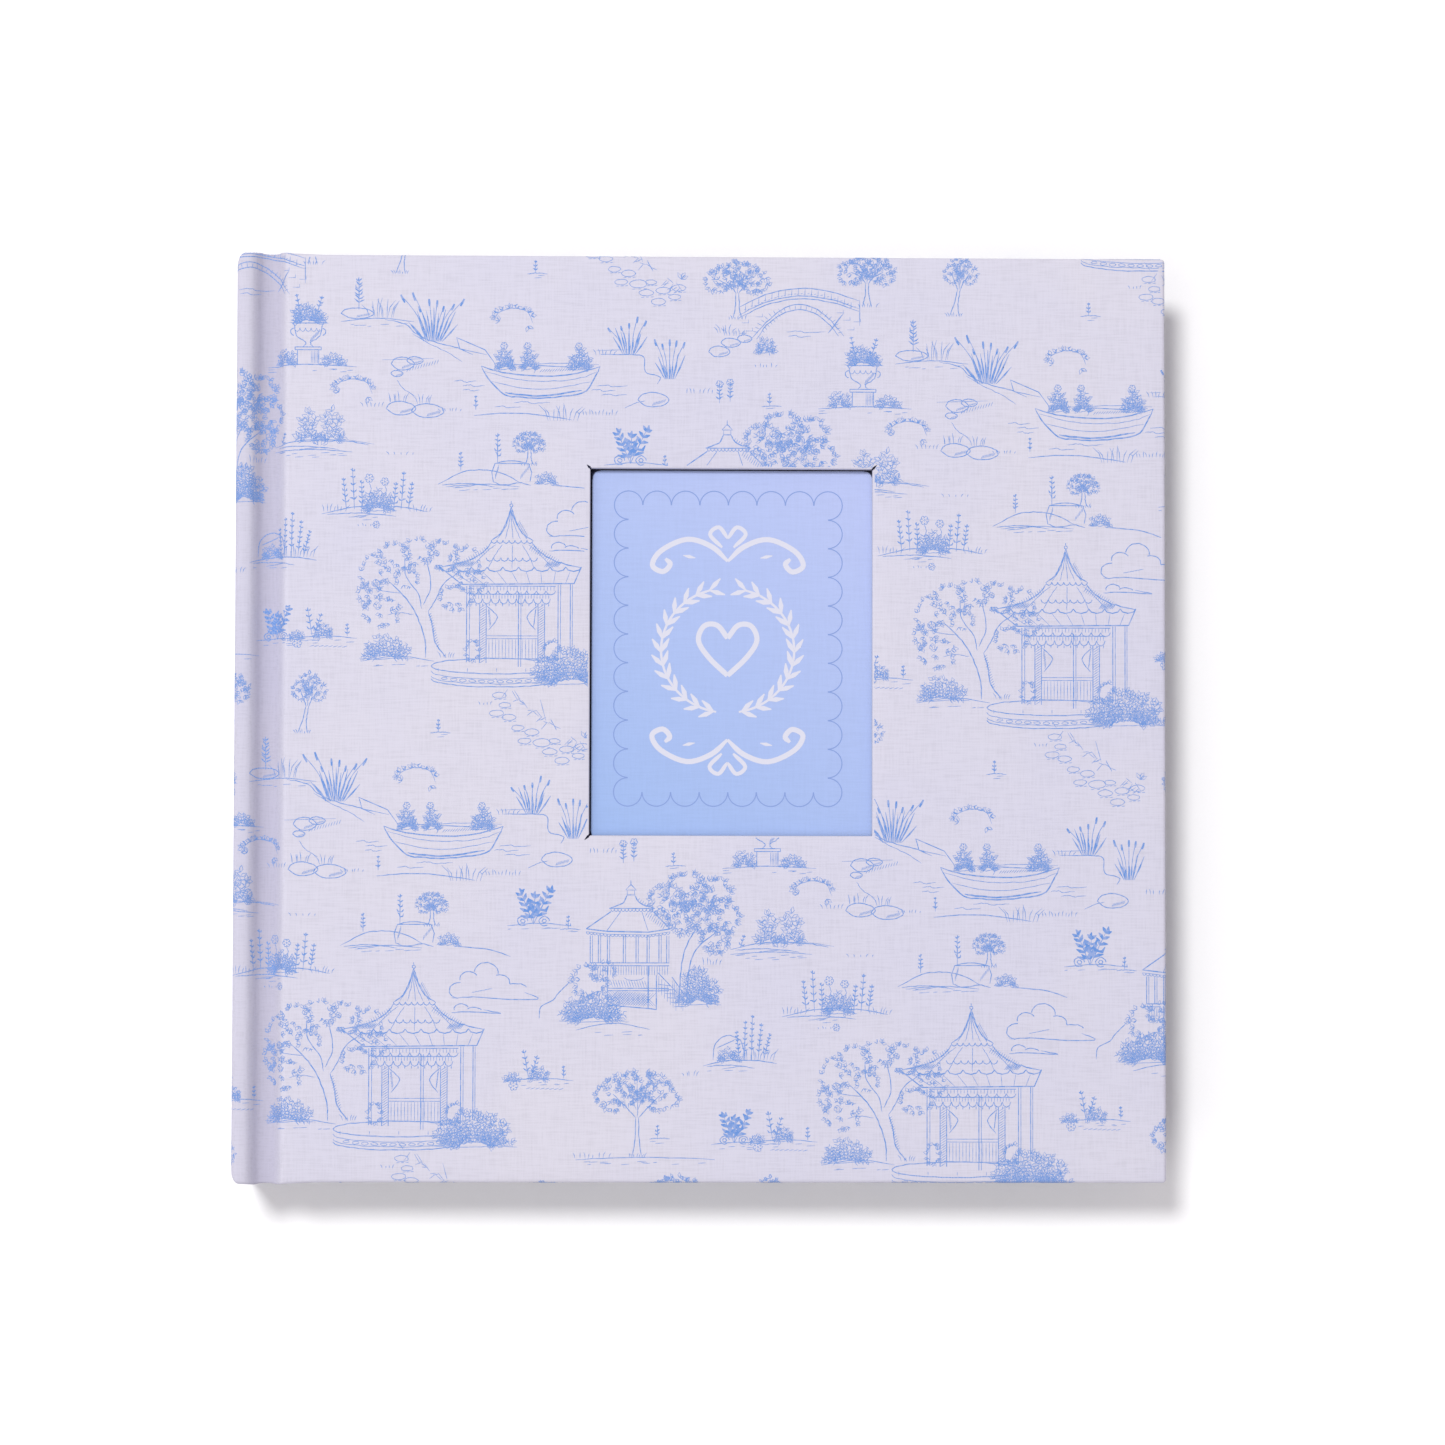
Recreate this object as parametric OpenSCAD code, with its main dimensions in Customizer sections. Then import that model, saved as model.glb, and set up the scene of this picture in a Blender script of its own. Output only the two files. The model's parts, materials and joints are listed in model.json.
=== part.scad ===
// Case-bound scrapbook album with a windowed front cover, lying closed on its back cover.
// Millimetres. X runs from the spine (-X) to the fore edge (+X), Y from the tail to the head, Z up.
// The origin is under the middle of the closed album, on the surface it lies on.

/* [Album] */
// Overall width, from the outside of the spine to the fore edge
cover_w = 228.6; // [180:0.1:320]
// Overall height, from tail to head
cover_h = 227.4; // [150:0.1:320]
// Overall thickness of the closed album
album_t = 28; // [28:0.5:40]

/* [Case] */
// Thickness of the greyboard in the covers and the spine
board_t = 3; // [2.4:0.1:3]
// Thickness of the covering cloth
cloth_t = 0.35; // [0.25:0.05:0.5]
// Thickness of the pastedowns and of the strip of lining behind the spine
paper_t = 0.2; // [0.1:0.05:0.3]
// Width of the French groove between the spine and each cover board
groove_w = 8.85; // [6:0.05:12]
// Width of the border of turned-in cloth round each pastedown
turn_in = 4; // [2:0.5:12]
// Rounding of the boards' corners
board_corner_r = 1.2; // [0.5:0.1:4]

/* [Window] */
// Width of the window in the front cover
window_w = 69.4; // [40:0.1:90]
// Height of the window
window_h = 90.2; // [40:0.1:110]
// Middle of the window from the outside of the spine
window_from_spine = 121.7; // [100:0.1:130]
// Middle of the window from the tail
window_from_tail = 129.85; // [100:0.05:140]
// Hidden border of the insert card behind each edge of the window
card_border = 4.1; // [2:0.1:8]
// Thickness of the insert card
card_t = 0.5; // [0.3:0.05:0.5]
// Depth of the channel that the card slides in, the inner ply of the front board
channel_t = 0.7; // [0.7:0.05:1]

/* [Pages] */
// Pages hinged with each cover, so that half of them open with the front cover
pages_per_cover = 8; // [2:1:8]
// Distance from one page to the next
page_pitch = 1.2; // [1.15:0.05:1.2]
// Thickness of a filled page sleeve
sleeve_t = 1; // [0.8:0.05:1]
// Thickness of the card page inside a sleeve
page_t = 0.7; // [0.3:0.05:0.7]
// Thickness of the film that a sleeve is made of
film_t = 0.13; // [0.08:0.01:0.14]
// Width of the welded seam round a sleeve
seam_w = 3; // [2:0.5:5]
// How far the covers stand out past the pages at the head, the tail and the fore edge
square = 3.2; // [2:0.1:6]
// Thickness of a flyleaf
flyleaf_t = 0.25; // [0.15:0.05:0.3]
// Thickness of the guards that join the pages to the spine
guard_t = 0.4; // [0.2:0.05:0.4]

/* [Hidden] */
$fn = 32;
spine_x = -cover_w / 2;
fore_x = cover_w / 2;
head_y = cover_h / 2;
hinge_d = cloth_t + board_t + paper_t;      // depth of each hinge line below the outer face
hinge_x = spine_x + hinge_d;
board_x = hinge_x + groove_w;               // spine-side edge of the cover boards
clearance = 0.1;
welded_t = 0.3;                             // two films welded together
mull_t = 0.2;
glue_t = 0.4;
guard_x = hinge_x + mull_t + glue_t;        // where the guards start
crease_gap = 0.15;                          // from a guard to the crease it bends at
leaf_start = 0.25;                          // from a crease to the stiff part of the page
spine_edge_r = 0.9;                         // rounding of the spine board's outer edges
spine_end_r = 2;                            // rounding of its ends, seen from the front cover
groove_gap = 0.45;                          // from a cover's inner face to its flyleaf
flyleaf_step = 0.85;                        // from a flyleaf to the first page
flyleaf_crease = 1;                         // from the hinge line to a flyleaf's crease
page_h = cover_h - 2 * square;
page_end = fore_x - square;
headband_r = 0.7;
window_x = spine_x + window_from_spine;
window_y = window_from_tail - head_y;
card_w = window_w + 2 * card_border;
card_h = window_h + 2 * card_border;
channel_w = card_w + 0.6;
channel_foot = window_y - card_h / 2 - 0.3;
PAGES = [1 : 2 * pages_per_cover];

PAGE_NODES = [for (i = PAGES) str("leaf_", two_digits(i))];
SLEEVE_NODES = [for (i = PAGES) str("sleeve_", two_digits(i))];

function two_digits(i) = str(i < 10 ? "0" : "", i);

// Pages are counted from the front cover. Step 0 is a flyleaf, step 1 the page next to it.
function in_front(i) = i <= pages_per_cover;
function step_of(i) = in_front(i) ? i : 2 * pages_per_cover + 1 - i;
// Depth of a leaf's middle below the inner face of its own cover
function leaf_depth(step) =
    groove_gap + flyleaf_t / 2 + (step == 0 ? 0 : flyleaf_step + (step - 1) * page_pitch);
// The creases stand further from the spine towards the middle of the album, so that the leaves
// keep their distance when they turn through a right angle about their own creases
function crease_x(step) =
    hinge_x + flyleaf_crease + (step == 0 ? 0 : flyleaf_step + (step - 1) * page_pitch);

module slab(low, high) {
    translate(low) cube(high - low);
}

// A board with rounded corners
module board(low, high) {
    size = high - low;
    r = board_corner_r;
    translate(low) linear_extrude(size.z) union() {
        translate([r, 0]) square([size.x - 2 * r, size.y]);
        translate([0, r]) square([size.x, size.y - 2 * r]);
        for (x = [r, size.x - r], y = [r, size.y - r])
            translate([x, y]) circle(r);
    }
}

// Draws its children for the front half, or mirrored for the back half
module for_half(front) {
    if (front) {
        children();
    } else {
        translate([0, 0, album_t]) mirror([0, 0, 1]) children();
    }
}

module paper_colour() { color([0.93, 0.92, 0.90]) children(); }
module cloth_colour() { color([0.86, 0.84, 0.91]) children(); }
module board_colour() { color([0.62, 0.58, 0.52]) children(); }
module lining_colour() { color([0.62, 0.68, 0.90]) children(); }

// Window-sized cut through the front cover, bigger all round by margin
module window_cut(margin) {
    slab([window_x - window_w / 2 - margin, window_y - window_h / 2 - margin, 0],
         [window_x + window_w / 2 + margin, window_y + window_h / 2 + margin, album_t + 1]);
}

// ---- Covers, drawn as the front one ----

inner_z = album_t - hinge_d;                // inner face of the front cover
board_low = inner_z + paper_t;
board_high = board_low + board_t;
ply_z = board_low + channel_t;              // between the two plies of the front board

module front_board() {
    board_colour() difference() {
        board([board_x, cloth_t - head_y, ply_z], [fore_x - cloth_t, head_y - cloth_t, board_high]);
        window_cut(cloth_t);
    }
}

module front_board_liner() {
    board_colour() difference() {
        board([board_x, cloth_t - head_y, board_low], [fore_x - cloth_t, head_y - cloth_t, ply_z]);
        slab([window_x - channel_w / 2, channel_foot, board_low - 1],
             [window_x + channel_w / 2, head_y, ply_z + 1]);
    }
}

// Cloth over the face and the edges of a cover board, turned in round the pastedown, and the
// strip of it that lies in the groove
module cover_cloth() {
    difference() {
        slab([board_x - cloth_t, -head_y, inner_z], [fore_x, head_y, album_t]);
        board([board_x, cloth_t - head_y, board_low], [fore_x - cloth_t, head_y - cloth_t, board_high]);
        slab([board_x - 1, turn_in - head_y, inner_z - 1], [fore_x - turn_in, head_y - turn_in, board_low]);
    }
    slab([hinge_x + 0.3, -head_y, inner_z - cloth_t], [board_x - cloth_t, head_y, inner_z]);
    slab([board_x - 2 * cloth_t, -head_y, inner_z - cloth_t], [board_x - cloth_t, head_y, inner_z + cloth_t]);
}

module front_cover_cloth() {
    cloth_colour() {
        difference() {
            cover_cloth();
            window_cut(cloth_t);
            slab([window_x - channel_w / 2, 0, board_low], [window_x + channel_w / 2, head_y + 1, ply_z]);
        }
        difference() {
            intersection() {
                window_cut(cloth_t);
                slab([board_x, -head_y, ply_z], [fore_x, head_y, album_t]);
            }
            window_cut(0);
        }
    }
}

module pastedown() {
    slab([board_x - cloth_t, turn_in - head_y, inner_z], [fore_x - turn_in, head_y - turn_in, board_low]);
}

module front_pastedown() { lining_colour() pastedown(); }

module window_card() {
    color([0.68, 0.75, 0.96])
        slab([window_x - card_w / 2, window_y - card_h / 2, board_low + clearance],
             [window_x + card_w / 2, window_y + card_h / 2, board_low + clearance + card_t]);
}

module back_board() {
    board_colour() for_half(false)
        board([board_x, cloth_t - head_y, board_low], [fore_x - cloth_t, head_y - cloth_t, board_high]);
}

module back_cover_cloth() { cloth_colour() for_half(false) cover_cloth(); }

module rear_pastedown() { lining_colour() for_half(false) pastedown(); }

// ---- Spine ----

module spine_section(inset, r) {
    // square on the block's side, rounded on the outside
    hull() {
        for (z = [inset + r, album_t - inset - r])
            translate([spine_x + inset + r, z]) circle(r);
        translate([hinge_x - paper_t - 1, inset]) square([1, album_t - 2 * inset]);
    }
}

module along_spine(length) {
    translate([0, length / 2, 0]) rotate([90, 0, 0]) linear_extrude(length) children();
}

module spine_board() {
    end_x = spine_x + cloth_t + spine_end_r;
    end_y = head_y - cloth_t;
    board_colour() intersection() {
        along_spine(2 * end_y) spine_section(cloth_t, spine_edge_r);
        linear_extrude(album_t) hull() {
            for (y = [-end_y + spine_end_r, end_y - spine_end_r])
                translate([end_x, y]) circle(spine_end_r);
            translate([end_x, -end_y]) square([board_t, 2 * end_y]);
        }
    }
}

module spine_cloth() {
    cloth_colour() difference() {
        union() {
            along_spine(cover_h) spine_section(0, spine_edge_r + cloth_t);
            for (z = [0, album_t - cloth_t])
                slab([hinge_x - 1, -head_y, z], [hinge_x, head_y, z + cloth_t]);
        }
        along_spine(cover_h - 2 * cloth_t) spine_section(cloth_t, spine_edge_r);
    }
}

module spine_lining() {
    lining_colour() slab([hinge_x - paper_t, cloth_t - head_y, hinge_d], [hinge_x, head_y - cloth_t, inner_z]);
}

block_low = hinge_d + groove_gap;
block_high = album_t - block_low;

module spine_mull() {
    color([0.90, 0.88, 0.80])
        slab([hinge_x, -page_h / 2, block_low], [hinge_x + mull_t, page_h / 2, block_high]);
}

module binding_glue() {
    color([0.88, 0.80, 0.58])
        slab([hinge_x + mull_t, -page_h / 2, block_low], [guard_x, page_h / 2, block_high]);
}

module guard(step) {
    t = step == 0 ? flyleaf_t : guard_t;
    z = inner_z - leaf_depth(step);
    slab([guard_x, -page_h / 2, z - t / 2], [crease_x(step) - crease_gap, page_h / 2, z + t / 2]);
}

module page_guards() {
    paper_colour() for (front = [true, false], step = [0 : pages_per_cover])
        for_half(front) guard(step);
}

module headband(y_start) {
    color([0.86, 0.88, 0.97]) intersection() {
        translate([hinge_x + headband_r, y_start, block_low]) cylinder(r = headband_r, h = block_high - block_low);
        slab([hinge_x, -head_y, 0], [hinge_x + 2 * headband_r, head_y, album_t]);
    }
}

module headband_head() { headband(page_h / 2 + headband_r); }
module headband_tail() { headband(-page_h / 2 - headband_r); }

// ---- Leaves ----

module flyleaf() {
    z = inner_z - leaf_depth(0);
    slab([crease_x(0) + crease_gap, -page_h / 2, z - flyleaf_t / 2], [page_end, page_h / 2, z + flyleaf_t / 2]);
}

module front_flyleaf() { lining_colour() flyleaf(); }
module rear_flyleaf() { lining_colour() for_half(false) flyleaf(); }

// Clear sleeve, welded along the tail, the fore edge and the binding edge, and open at the head
module sleeve(i) {
    x0 = crease_x(step_of(i)) + leaf_start;
    z = inner_z - leaf_depth(step_of(i));
    color([0.86, 0.91, 0.96, 0.5]) for_half(in_front(i)) difference() {
        union() {
            slab([x0, -page_h / 2, z - welded_t / 2], [page_end, page_h / 2, z + welded_t / 2]);
            slab([x0 + seam_w, seam_w - page_h / 2, z - sleeve_t / 2],
                 [page_end - seam_w, page_h / 2, z + sleeve_t / 2]);
        }
        slab([x0 + seam_w + film_t, seam_w + film_t - page_h / 2, z - sleeve_t / 2 + film_t],
             [page_end - seam_w - film_t, page_h / 2 + 1, z + sleeve_t / 2 - film_t]);
    }
}

module leaf(i) {
    x0 = crease_x(step_of(i)) + leaf_start;
    z = inner_z - leaf_depth(step_of(i));
    inset = seam_w + film_t + clearance;
    paper_colour() for_half(in_front(i))
        slab([x0 + inset, inset - page_h / 2, z - page_t / 2],
             [page_end - inset, page_h / 2 - 2, z + page_t / 2]);
}

front_board();
front_board_liner();
front_cover_cloth();
front_pastedown();
window_card();
front_flyleaf();
rear_flyleaf();
back_board();
back_cover_cloth();
rear_pastedown();
spine_board();
spine_cloth();
spine_lining();
spine_mull();
binding_glue();
page_guards();
headband_head();
headband_tail();
for (i = PAGES) {
    leaf(i);
    sleeve(i);
}
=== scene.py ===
"""Looks of a cloth-covered scrapbook album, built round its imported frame. Metres, in the frame's axes."""

import json
import math

import bmesh
import bpy
import numpy as np
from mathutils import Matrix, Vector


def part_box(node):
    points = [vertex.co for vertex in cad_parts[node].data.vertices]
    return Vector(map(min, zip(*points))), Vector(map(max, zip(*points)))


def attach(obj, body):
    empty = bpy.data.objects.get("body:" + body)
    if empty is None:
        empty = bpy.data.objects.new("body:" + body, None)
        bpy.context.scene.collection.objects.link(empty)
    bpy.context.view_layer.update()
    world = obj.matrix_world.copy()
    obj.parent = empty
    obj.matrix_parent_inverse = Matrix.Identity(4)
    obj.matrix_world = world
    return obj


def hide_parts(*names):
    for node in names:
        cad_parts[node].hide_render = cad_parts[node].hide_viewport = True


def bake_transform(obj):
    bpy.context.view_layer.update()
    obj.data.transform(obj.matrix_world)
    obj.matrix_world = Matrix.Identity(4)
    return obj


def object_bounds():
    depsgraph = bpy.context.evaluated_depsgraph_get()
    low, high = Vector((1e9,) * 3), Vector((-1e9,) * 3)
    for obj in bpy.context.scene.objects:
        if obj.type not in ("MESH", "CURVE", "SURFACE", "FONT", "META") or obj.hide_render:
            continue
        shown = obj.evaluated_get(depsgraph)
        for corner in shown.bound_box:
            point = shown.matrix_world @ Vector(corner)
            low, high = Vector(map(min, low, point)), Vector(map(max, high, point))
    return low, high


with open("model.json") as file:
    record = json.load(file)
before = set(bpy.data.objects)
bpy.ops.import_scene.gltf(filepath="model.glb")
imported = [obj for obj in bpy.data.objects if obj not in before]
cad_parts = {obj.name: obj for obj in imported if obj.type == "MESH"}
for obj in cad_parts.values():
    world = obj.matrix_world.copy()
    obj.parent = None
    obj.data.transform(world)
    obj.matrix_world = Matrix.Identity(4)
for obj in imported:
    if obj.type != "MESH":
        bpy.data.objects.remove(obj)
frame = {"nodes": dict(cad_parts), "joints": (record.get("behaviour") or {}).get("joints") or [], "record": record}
CAD_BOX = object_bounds()
MM = 0.001

# ---- Places, read from the frame ----
JOINTS = {j["name"]: j for j in frame["joints"]}
SPINE_X, HEAD_Y = CAD_BOX[0].x, CAD_BOX[1].y
FORE_X, TOP_Z = CAD_BOX[1].x, CAD_BOX[1].z
HINGE_X, _, INNER_Z = JOINTS["front_hinge"]["pos_m"]
PLY_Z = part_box("front_board")[0].z
PAGE_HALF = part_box("page_guards")[1].y
CARD_LOW, CARD_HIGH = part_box("window_card")
OPENING_MARGIN = 1 * MM              # the stated opening is this much inside the window
OPENING = frame["record"]["physics"]["openings"][0]["box_m"]
WINDOW_LOW = np.array(OPENING[0][:2]) - OPENING_MARGIN
WINDOW_HIGH = np.array(OPENING[1][:2]) + OPENING_MARGIN

# ---- Cloth case ----
EDGE_R = 0.9 * MM                    # rounding of the cloth over the boards' edges
CLOTH_T = 0.25 * MM
TURN_IN = 4 * MM
REVEAL_R = 0.35 * MM                 # rounding of the cloth into the window
REVEAL = 2 * MM                      # how far down the window's sides the cloth goes
RIDGE_R = 1.6 * MM                   # rounding of the spine's long edges
INNER_RIDGE = 1.2 * RIDGE_R          # how far below the top the spine's turn-in ends
SPINE_INNER = 3.4                    # from the outside of the spine to its turn-in, in millimetres
INNER_FLAT = 5                       # and to where the underside of the cloth is flat
CHANNEL_MARGIN = 0.4 * MM            # of the slot in the head edge, each side of the card
BEND = 3.2 * MM                      # from the hinge to the end of the crease that the cover turns on
EDGE_X, EDGE_Y = FORE_X - EDGE_R, HEAD_Y - EDGE_R
HOLE_LOW, HOLE_HIGH = WINDOW_LOW - REVEAL_R, WINDOW_HIGH + REVEAL_R  # the hole in the flat of the cloth
SLOT_LOW, SLOT_HIGH = CARD_LOW.x - CHANNEL_MARGIN, CARD_HIGH.x + CHANNEL_MARGIN
FOLD_STEPS = 4
FLAT_STEP = 8 * MM
MERGE = 0.002 * MM                   # points closer than this are one
SHARP = 40                           # degrees between faces from which an edge is sharp

# From the ridge into the groove and up over the board: millimetres from the outside of the spine, and
# millimetres below the top. The matching inner points are where the turned-in cloth ends.
GROOVE = [(1.6, 0), (2.8, 0.04), (3.8, 0.36), (4.8, 1.1), (5.8, 1.9), (6.8, 2.4), (8.4, 2.6),
          (9.8, 2.4), (10.8, 1.75), (11.6, 0.9), (12.3, 0.25), (13, 0), (13.9, 0)]
# How far the cloth stands past the boards' head and tail, where it laps over the spine: millimetres
# from the outside of the spine, and millimetres.
LAP = [(0, 0.3), (3, 0.45), (6, 0.75), (10, 0.75), (13, 0.4), (17, 0)]
SPINE_CORNER = (2.1, 2.6)            # rounding of the spine's ends seen from above, across and along it


def smooth(points, per_span=4):
    """A Catmull-Rom curve through points."""
    p = np.asarray(points, float)
    p = np.vstack([2 * p[0] - p[1], p, 2 * p[-1] - p[-2]])
    t = np.linspace(0, 1, per_span, endpoint=False)[:, None]
    spans = [
        0.5 * (2 * b + (c - a) * t + (2 * a - 5 * b + 4 * c - d) * t**2 + (3 * b - a - 3 * c + d) * t**3)
        for a, b, c, d in zip(p, p[1:], p[2:], p[3:])
    ]
    return np.vstack([*spans, p[-2]])


def fold(thickness, radius):
    """(outward, down) pairs round the edge of a sheet of that thickness, from its top to its underside."""
    r = min(radius, thickness / 2)
    turn = np.linspace(0, math.pi / 2, FOLD_STEPS + 1)
    over = [(r * math.sin(a), r * (1 - math.cos(a))) for a in turn]
    return over + [(o, thickness - d) for o, d in reversed(over)]


def steps(low, high, size, *stops):
    """Places from low to high, no further apart than size, that include the stops."""
    marks = sorted({low, high, *(s for s in stops if low < s < high)})
    return [
        a + (b - a) * i / n
        for a, b in zip(marks, marks[1:])
        for n in [max(1, math.ceil((b - a) / size))]
        for i in range(n)
    ] + [high]


def case_columns():
    """Outer and inner points (x, z) of the cloth from the middle of the spine to the fore edge."""
    depth = TOP_Z - INNER_Z
    spine_z = steps(TOP_Z / 2, TOP_Z - RIDGE_R, 3 * MM)
    outer = [(SPINE_X, z) for z in spine_z[:-1]]
    inner = [(SPINE_X + SPINE_INNER * MM, z) for z in spine_z[:-1]]
    for a in np.linspace(0, math.pi / 2, FOLD_STEPS + 1)[:-1]:
        outer.append((SPINE_X + RIDGE_R * (1 - math.cos(a)), TOP_Z - RIDGE_R * (1 - math.sin(a))))
        inner.append((SPINE_X + SPINE_INNER * MM, TOP_Z - INNER_RIDGE))
    for x, down in smooth(GROOVE, 3):
        outer.append((SPINE_X + x * MM, TOP_Z - down * MM))
        inner_x = max(x, SPINE_INNER)
        inner_down = np.interp(inner_x, [SPINE_INNER, INNER_FLAT], [INNER_RIDGE, depth])
        inner.append((SPINE_X + inner_x * MM, TOP_Z - inner_down))
    flat = steps(
        outer[-1][0], EDGE_X, FLAT_STEP, EDGE_X - TURN_IN,
        HOLE_LOW[0], HOLE_HIGH[0], SLOT_LOW, SLOT_HIGH,
    )
    outer += [(x, TOP_Z) for x in flat[1:]]
    inner += [(x, INNER_Z) for x in flat[1:]]
    return np.array(outer), np.array(inner)


OUTER, INNER = case_columns()
ROWS = steps(-EDGE_Y, EDGE_Y, FLAT_STEP, TURN_IN - EDGE_Y, EDGE_Y - TURN_IN, HOLE_LOW[1], HOLE_HIGH[1])


def add_grid(mesh, points, keep=lambda i, j: True):
    """Adds a grid of quads to a bmesh."""
    corners = [[mesh.verts.new(p) for p in row] for row in points]
    for i in range(len(corners) - 1):
        for j in range(len(corners[i]) - 1):
            if keep(i, j):
                ring = (corners[i][j], corners[i + 1][j], corners[i + 1][j + 1], corners[i][j + 1])
                mesh.faces.new(ring)


def fold_y(x):
    """How far up the head fold starts at x; the tail mirrors it."""
    from_spine = (np.asarray(x) - SPINE_X) / MM
    short = np.clip(1 - from_spine / SPINE_CORNER[0], 0, 1)
    lap = np.interp(from_spine, *zip(*LAP))
    return EDGE_Y + (lap - SPINE_CORNER[1] * (1 - np.sqrt(1 - short**2))) * MM


def add_object(name, data):
    """A new object in the scene."""
    piece = bpy.data.objects.new(name, data)
    bpy.context.scene.collection.objects.link(piece)
    return piece


def finish_mesh(mesh, name, material, up=None, sharp=SHARP):
    """Turns a bmesh into an object with one material. Faces chosen by up are turned to look upwards."""
    bmesh.ops.remove_doubles(mesh, verts=mesh.verts, dist=MERGE)
    bmesh.ops.dissolve_degenerate(mesh, edges=mesh.edges, dist=MERGE / 2)
    bmesh.ops.recalc_face_normals(mesh, faces=mesh.faces)
    if up is not None:
        facing = sum(f.normal.z * f.calc_area() for f in mesh.faces if up(f.calc_center_median()))
        if facing < 0:
            bmesh.ops.reverse_faces(mesh, faces=mesh.faces)
    data = bpy.data.meshes.new(name)
    mesh.to_mesh(data)
    mesh.free()
    data.materials.append(material)
    data.polygons.foreach_set("use_smooth", [True] * len(data.polygons))
    data.set_sharp_from_angle(angle=math.radians(sharp))
    return add_object(name, data)


def apply_solidify(piece, thickness):
    """Gives an open sheet its thickness, inwards."""
    modifier = piece.modifiers.new("thickness", "SOLIDIFY")
    modifier.thickness = thickness
    modifier.offset = -1
    depsgraph = bpy.context.evaluated_depsgraph_get()
    data = bpy.data.meshes.new_from_object(piece.evaluated_get(depsgraph))
    piece.modifiers.clear()
    data.set_sharp_from_angle(angle=math.radians(SHARP))
    piece.data = data


def window_reveal(mesh):
    """Cloth that turns down into the window, with the same points along its edge as the face has."""
    turn = np.linspace(0, math.pi / 2, FOLD_STEPS + 1)
    levels = [(REVEAL_R * math.sin(a), TOP_Z - REVEAL_R * (1 - math.cos(a))) for a in turn]
    levels.append((REVEAL_R, TOP_Z - REVEAL))
    low, high = HOLE_LOW, HOLE_HIGH
    xs, ys = (
        [place for place in places if low[k] - MERGE < place < high[k] + MERGE]
        for k, places in enumerate((OUTER[:, 0], ROWS))
    )
    outline = [(x, low[1]) for x in xs] + [(high[0], y) for y in ys[1:]]
    outline += [(x, high[1]) for x in xs[-2::-1]] + [(low[0], y) for y in ys[-2::-1]]
    add_grid(mesh, [
        [(*np.clip((x, y), low + inset, high - inset), z) for x, y in outline] for inset, z in levels
    ])


def case_half(name, material, front):
    """The cloth over one cover, its groove and half of the spine."""
    mesh = bmesh.new()

    def on_face(i, j):
        """All of the face but the hole for the window."""
        x, y = (OUTER[i][0] + OUTER[i + 1][0]) / 2, (ROWS[j] + ROWS[j + 1]) / 2
        return not (front and HOLE_LOW[0] < x < HOLE_HIGH[0] and HOLE_LOW[1] < y < HOLE_HIGH[1])

    add_grid(mesh, [
        [(x, y if abs(y) < EDGE_Y else math.copysign(fold_y(x), y), z) for y in ROWS] for x, z in OUTER
    ], on_face)
    if front:
        window_reveal(mesh)

    def off_slot(i, k):
        """All of the head fold but the slot that the card goes in by."""
        x = (OUTER[i][0] + OUTER[i + 1][0]) / 2
        return not (front and SLOT_LOW < x < SLOT_HIGH and FOLD_STEPS < k < 2 * FOLD_STEPS + 1)

    for side in (-1, 1):
        strip = []
        for p, q in zip(OUTER, INNER):
            thickness = np.linalg.norm(q - p)
            round_edge = [(o, p + (q - p) * d / thickness) for o, d in fold(thickness, EDGE_R)]
            round_edge.append((-min(TURN_IN, EDGE_X - p[0]), q))
            strip.append([(x, side * (fold_y(x) + o), z) for o, (x, z) in round_edge])
        add_grid(mesh, strip, off_slot if side > 0 else lambda i, k: True)

    round_edge = fold(TOP_Z - INNER_Z, EDGE_R)
    add_grid(mesh, [
        [(EDGE_X + o, y, TOP_Z - d) for o, d in round_edge]
        + [(EDGE_X - min(TURN_IN, EDGE_Y - abs(y)), y, INNER_Z)]
        for y in ROWS
    ])
    for side in (-1, 1):
        add_grid(mesh, [
            [(EDGE_X + o * math.cos(a), side * (EDGE_Y + o * math.sin(a)), TOP_Z - d) for o, d in round_edge]
            for a in np.linspace(0, math.pi / 2, FOLD_STEPS + 1)
        ])
    piece = finish_mesh(mesh, name, material, up=lambda c: c.z > TOP_Z - 0.01 * MM)
    apply_solidify(piece, CLOTH_T)
    if not front:
        mirror_to_back(piece)
    return piece


def mirror_to_back(piece):
    """Moves a piece made for the front cover to the same place on the back cover."""
    for v in piece.data.vertices:
        v.co.z = TOP_Z - v.co.z
    piece.data.flip_normals()


# ---- Materials ----

def linear(level):
    """The linear value of an 8-bit sRGB level."""
    share = level / 255
    return share / 12.92 if level < 11 else ((share + 0.055) / 1.055) ** 2.4


def srgb(red, green, blue):
    """A linear colour from 8-bit levels."""
    return (linear(red), linear(green), linear(blue), 1)


def grey(level):
    """A linear grey."""
    return (level, level, level, 1)


def new_material(name, colour, roughness):
    """A material, its node tree and its shader."""
    material = bpy.data.materials.new(name)
    material.use_nodes = True
    shader = material.node_tree.nodes["Principled BSDF"]
    shader.inputs["Base Color"].default_value = colour
    shader.inputs["Roughness"].default_value = roughness
    return material, material.node_tree, shader


def noise(tree, stretch, detail=3):
    """A noise texture in the object's own axes; stretch is its frequency along X, Y and Z, per metre."""
    place = tree.nodes.new("ShaderNodeTexCoord")
    scale = tree.nodes.new("ShaderNodeMapping")
    scale.inputs["Scale"].default_value = stretch
    texture = tree.nodes.new("ShaderNodeTexNoise")
    texture.inputs["Scale"].default_value = 1
    texture.inputs["Detail"].default_value = detail
    tree.links.new(place.outputs["Object"], scale.inputs["Vector"])
    tree.links.new(scale.outputs["Vector"], texture.inputs["Vector"])
    return texture.outputs["Fac"]


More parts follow.
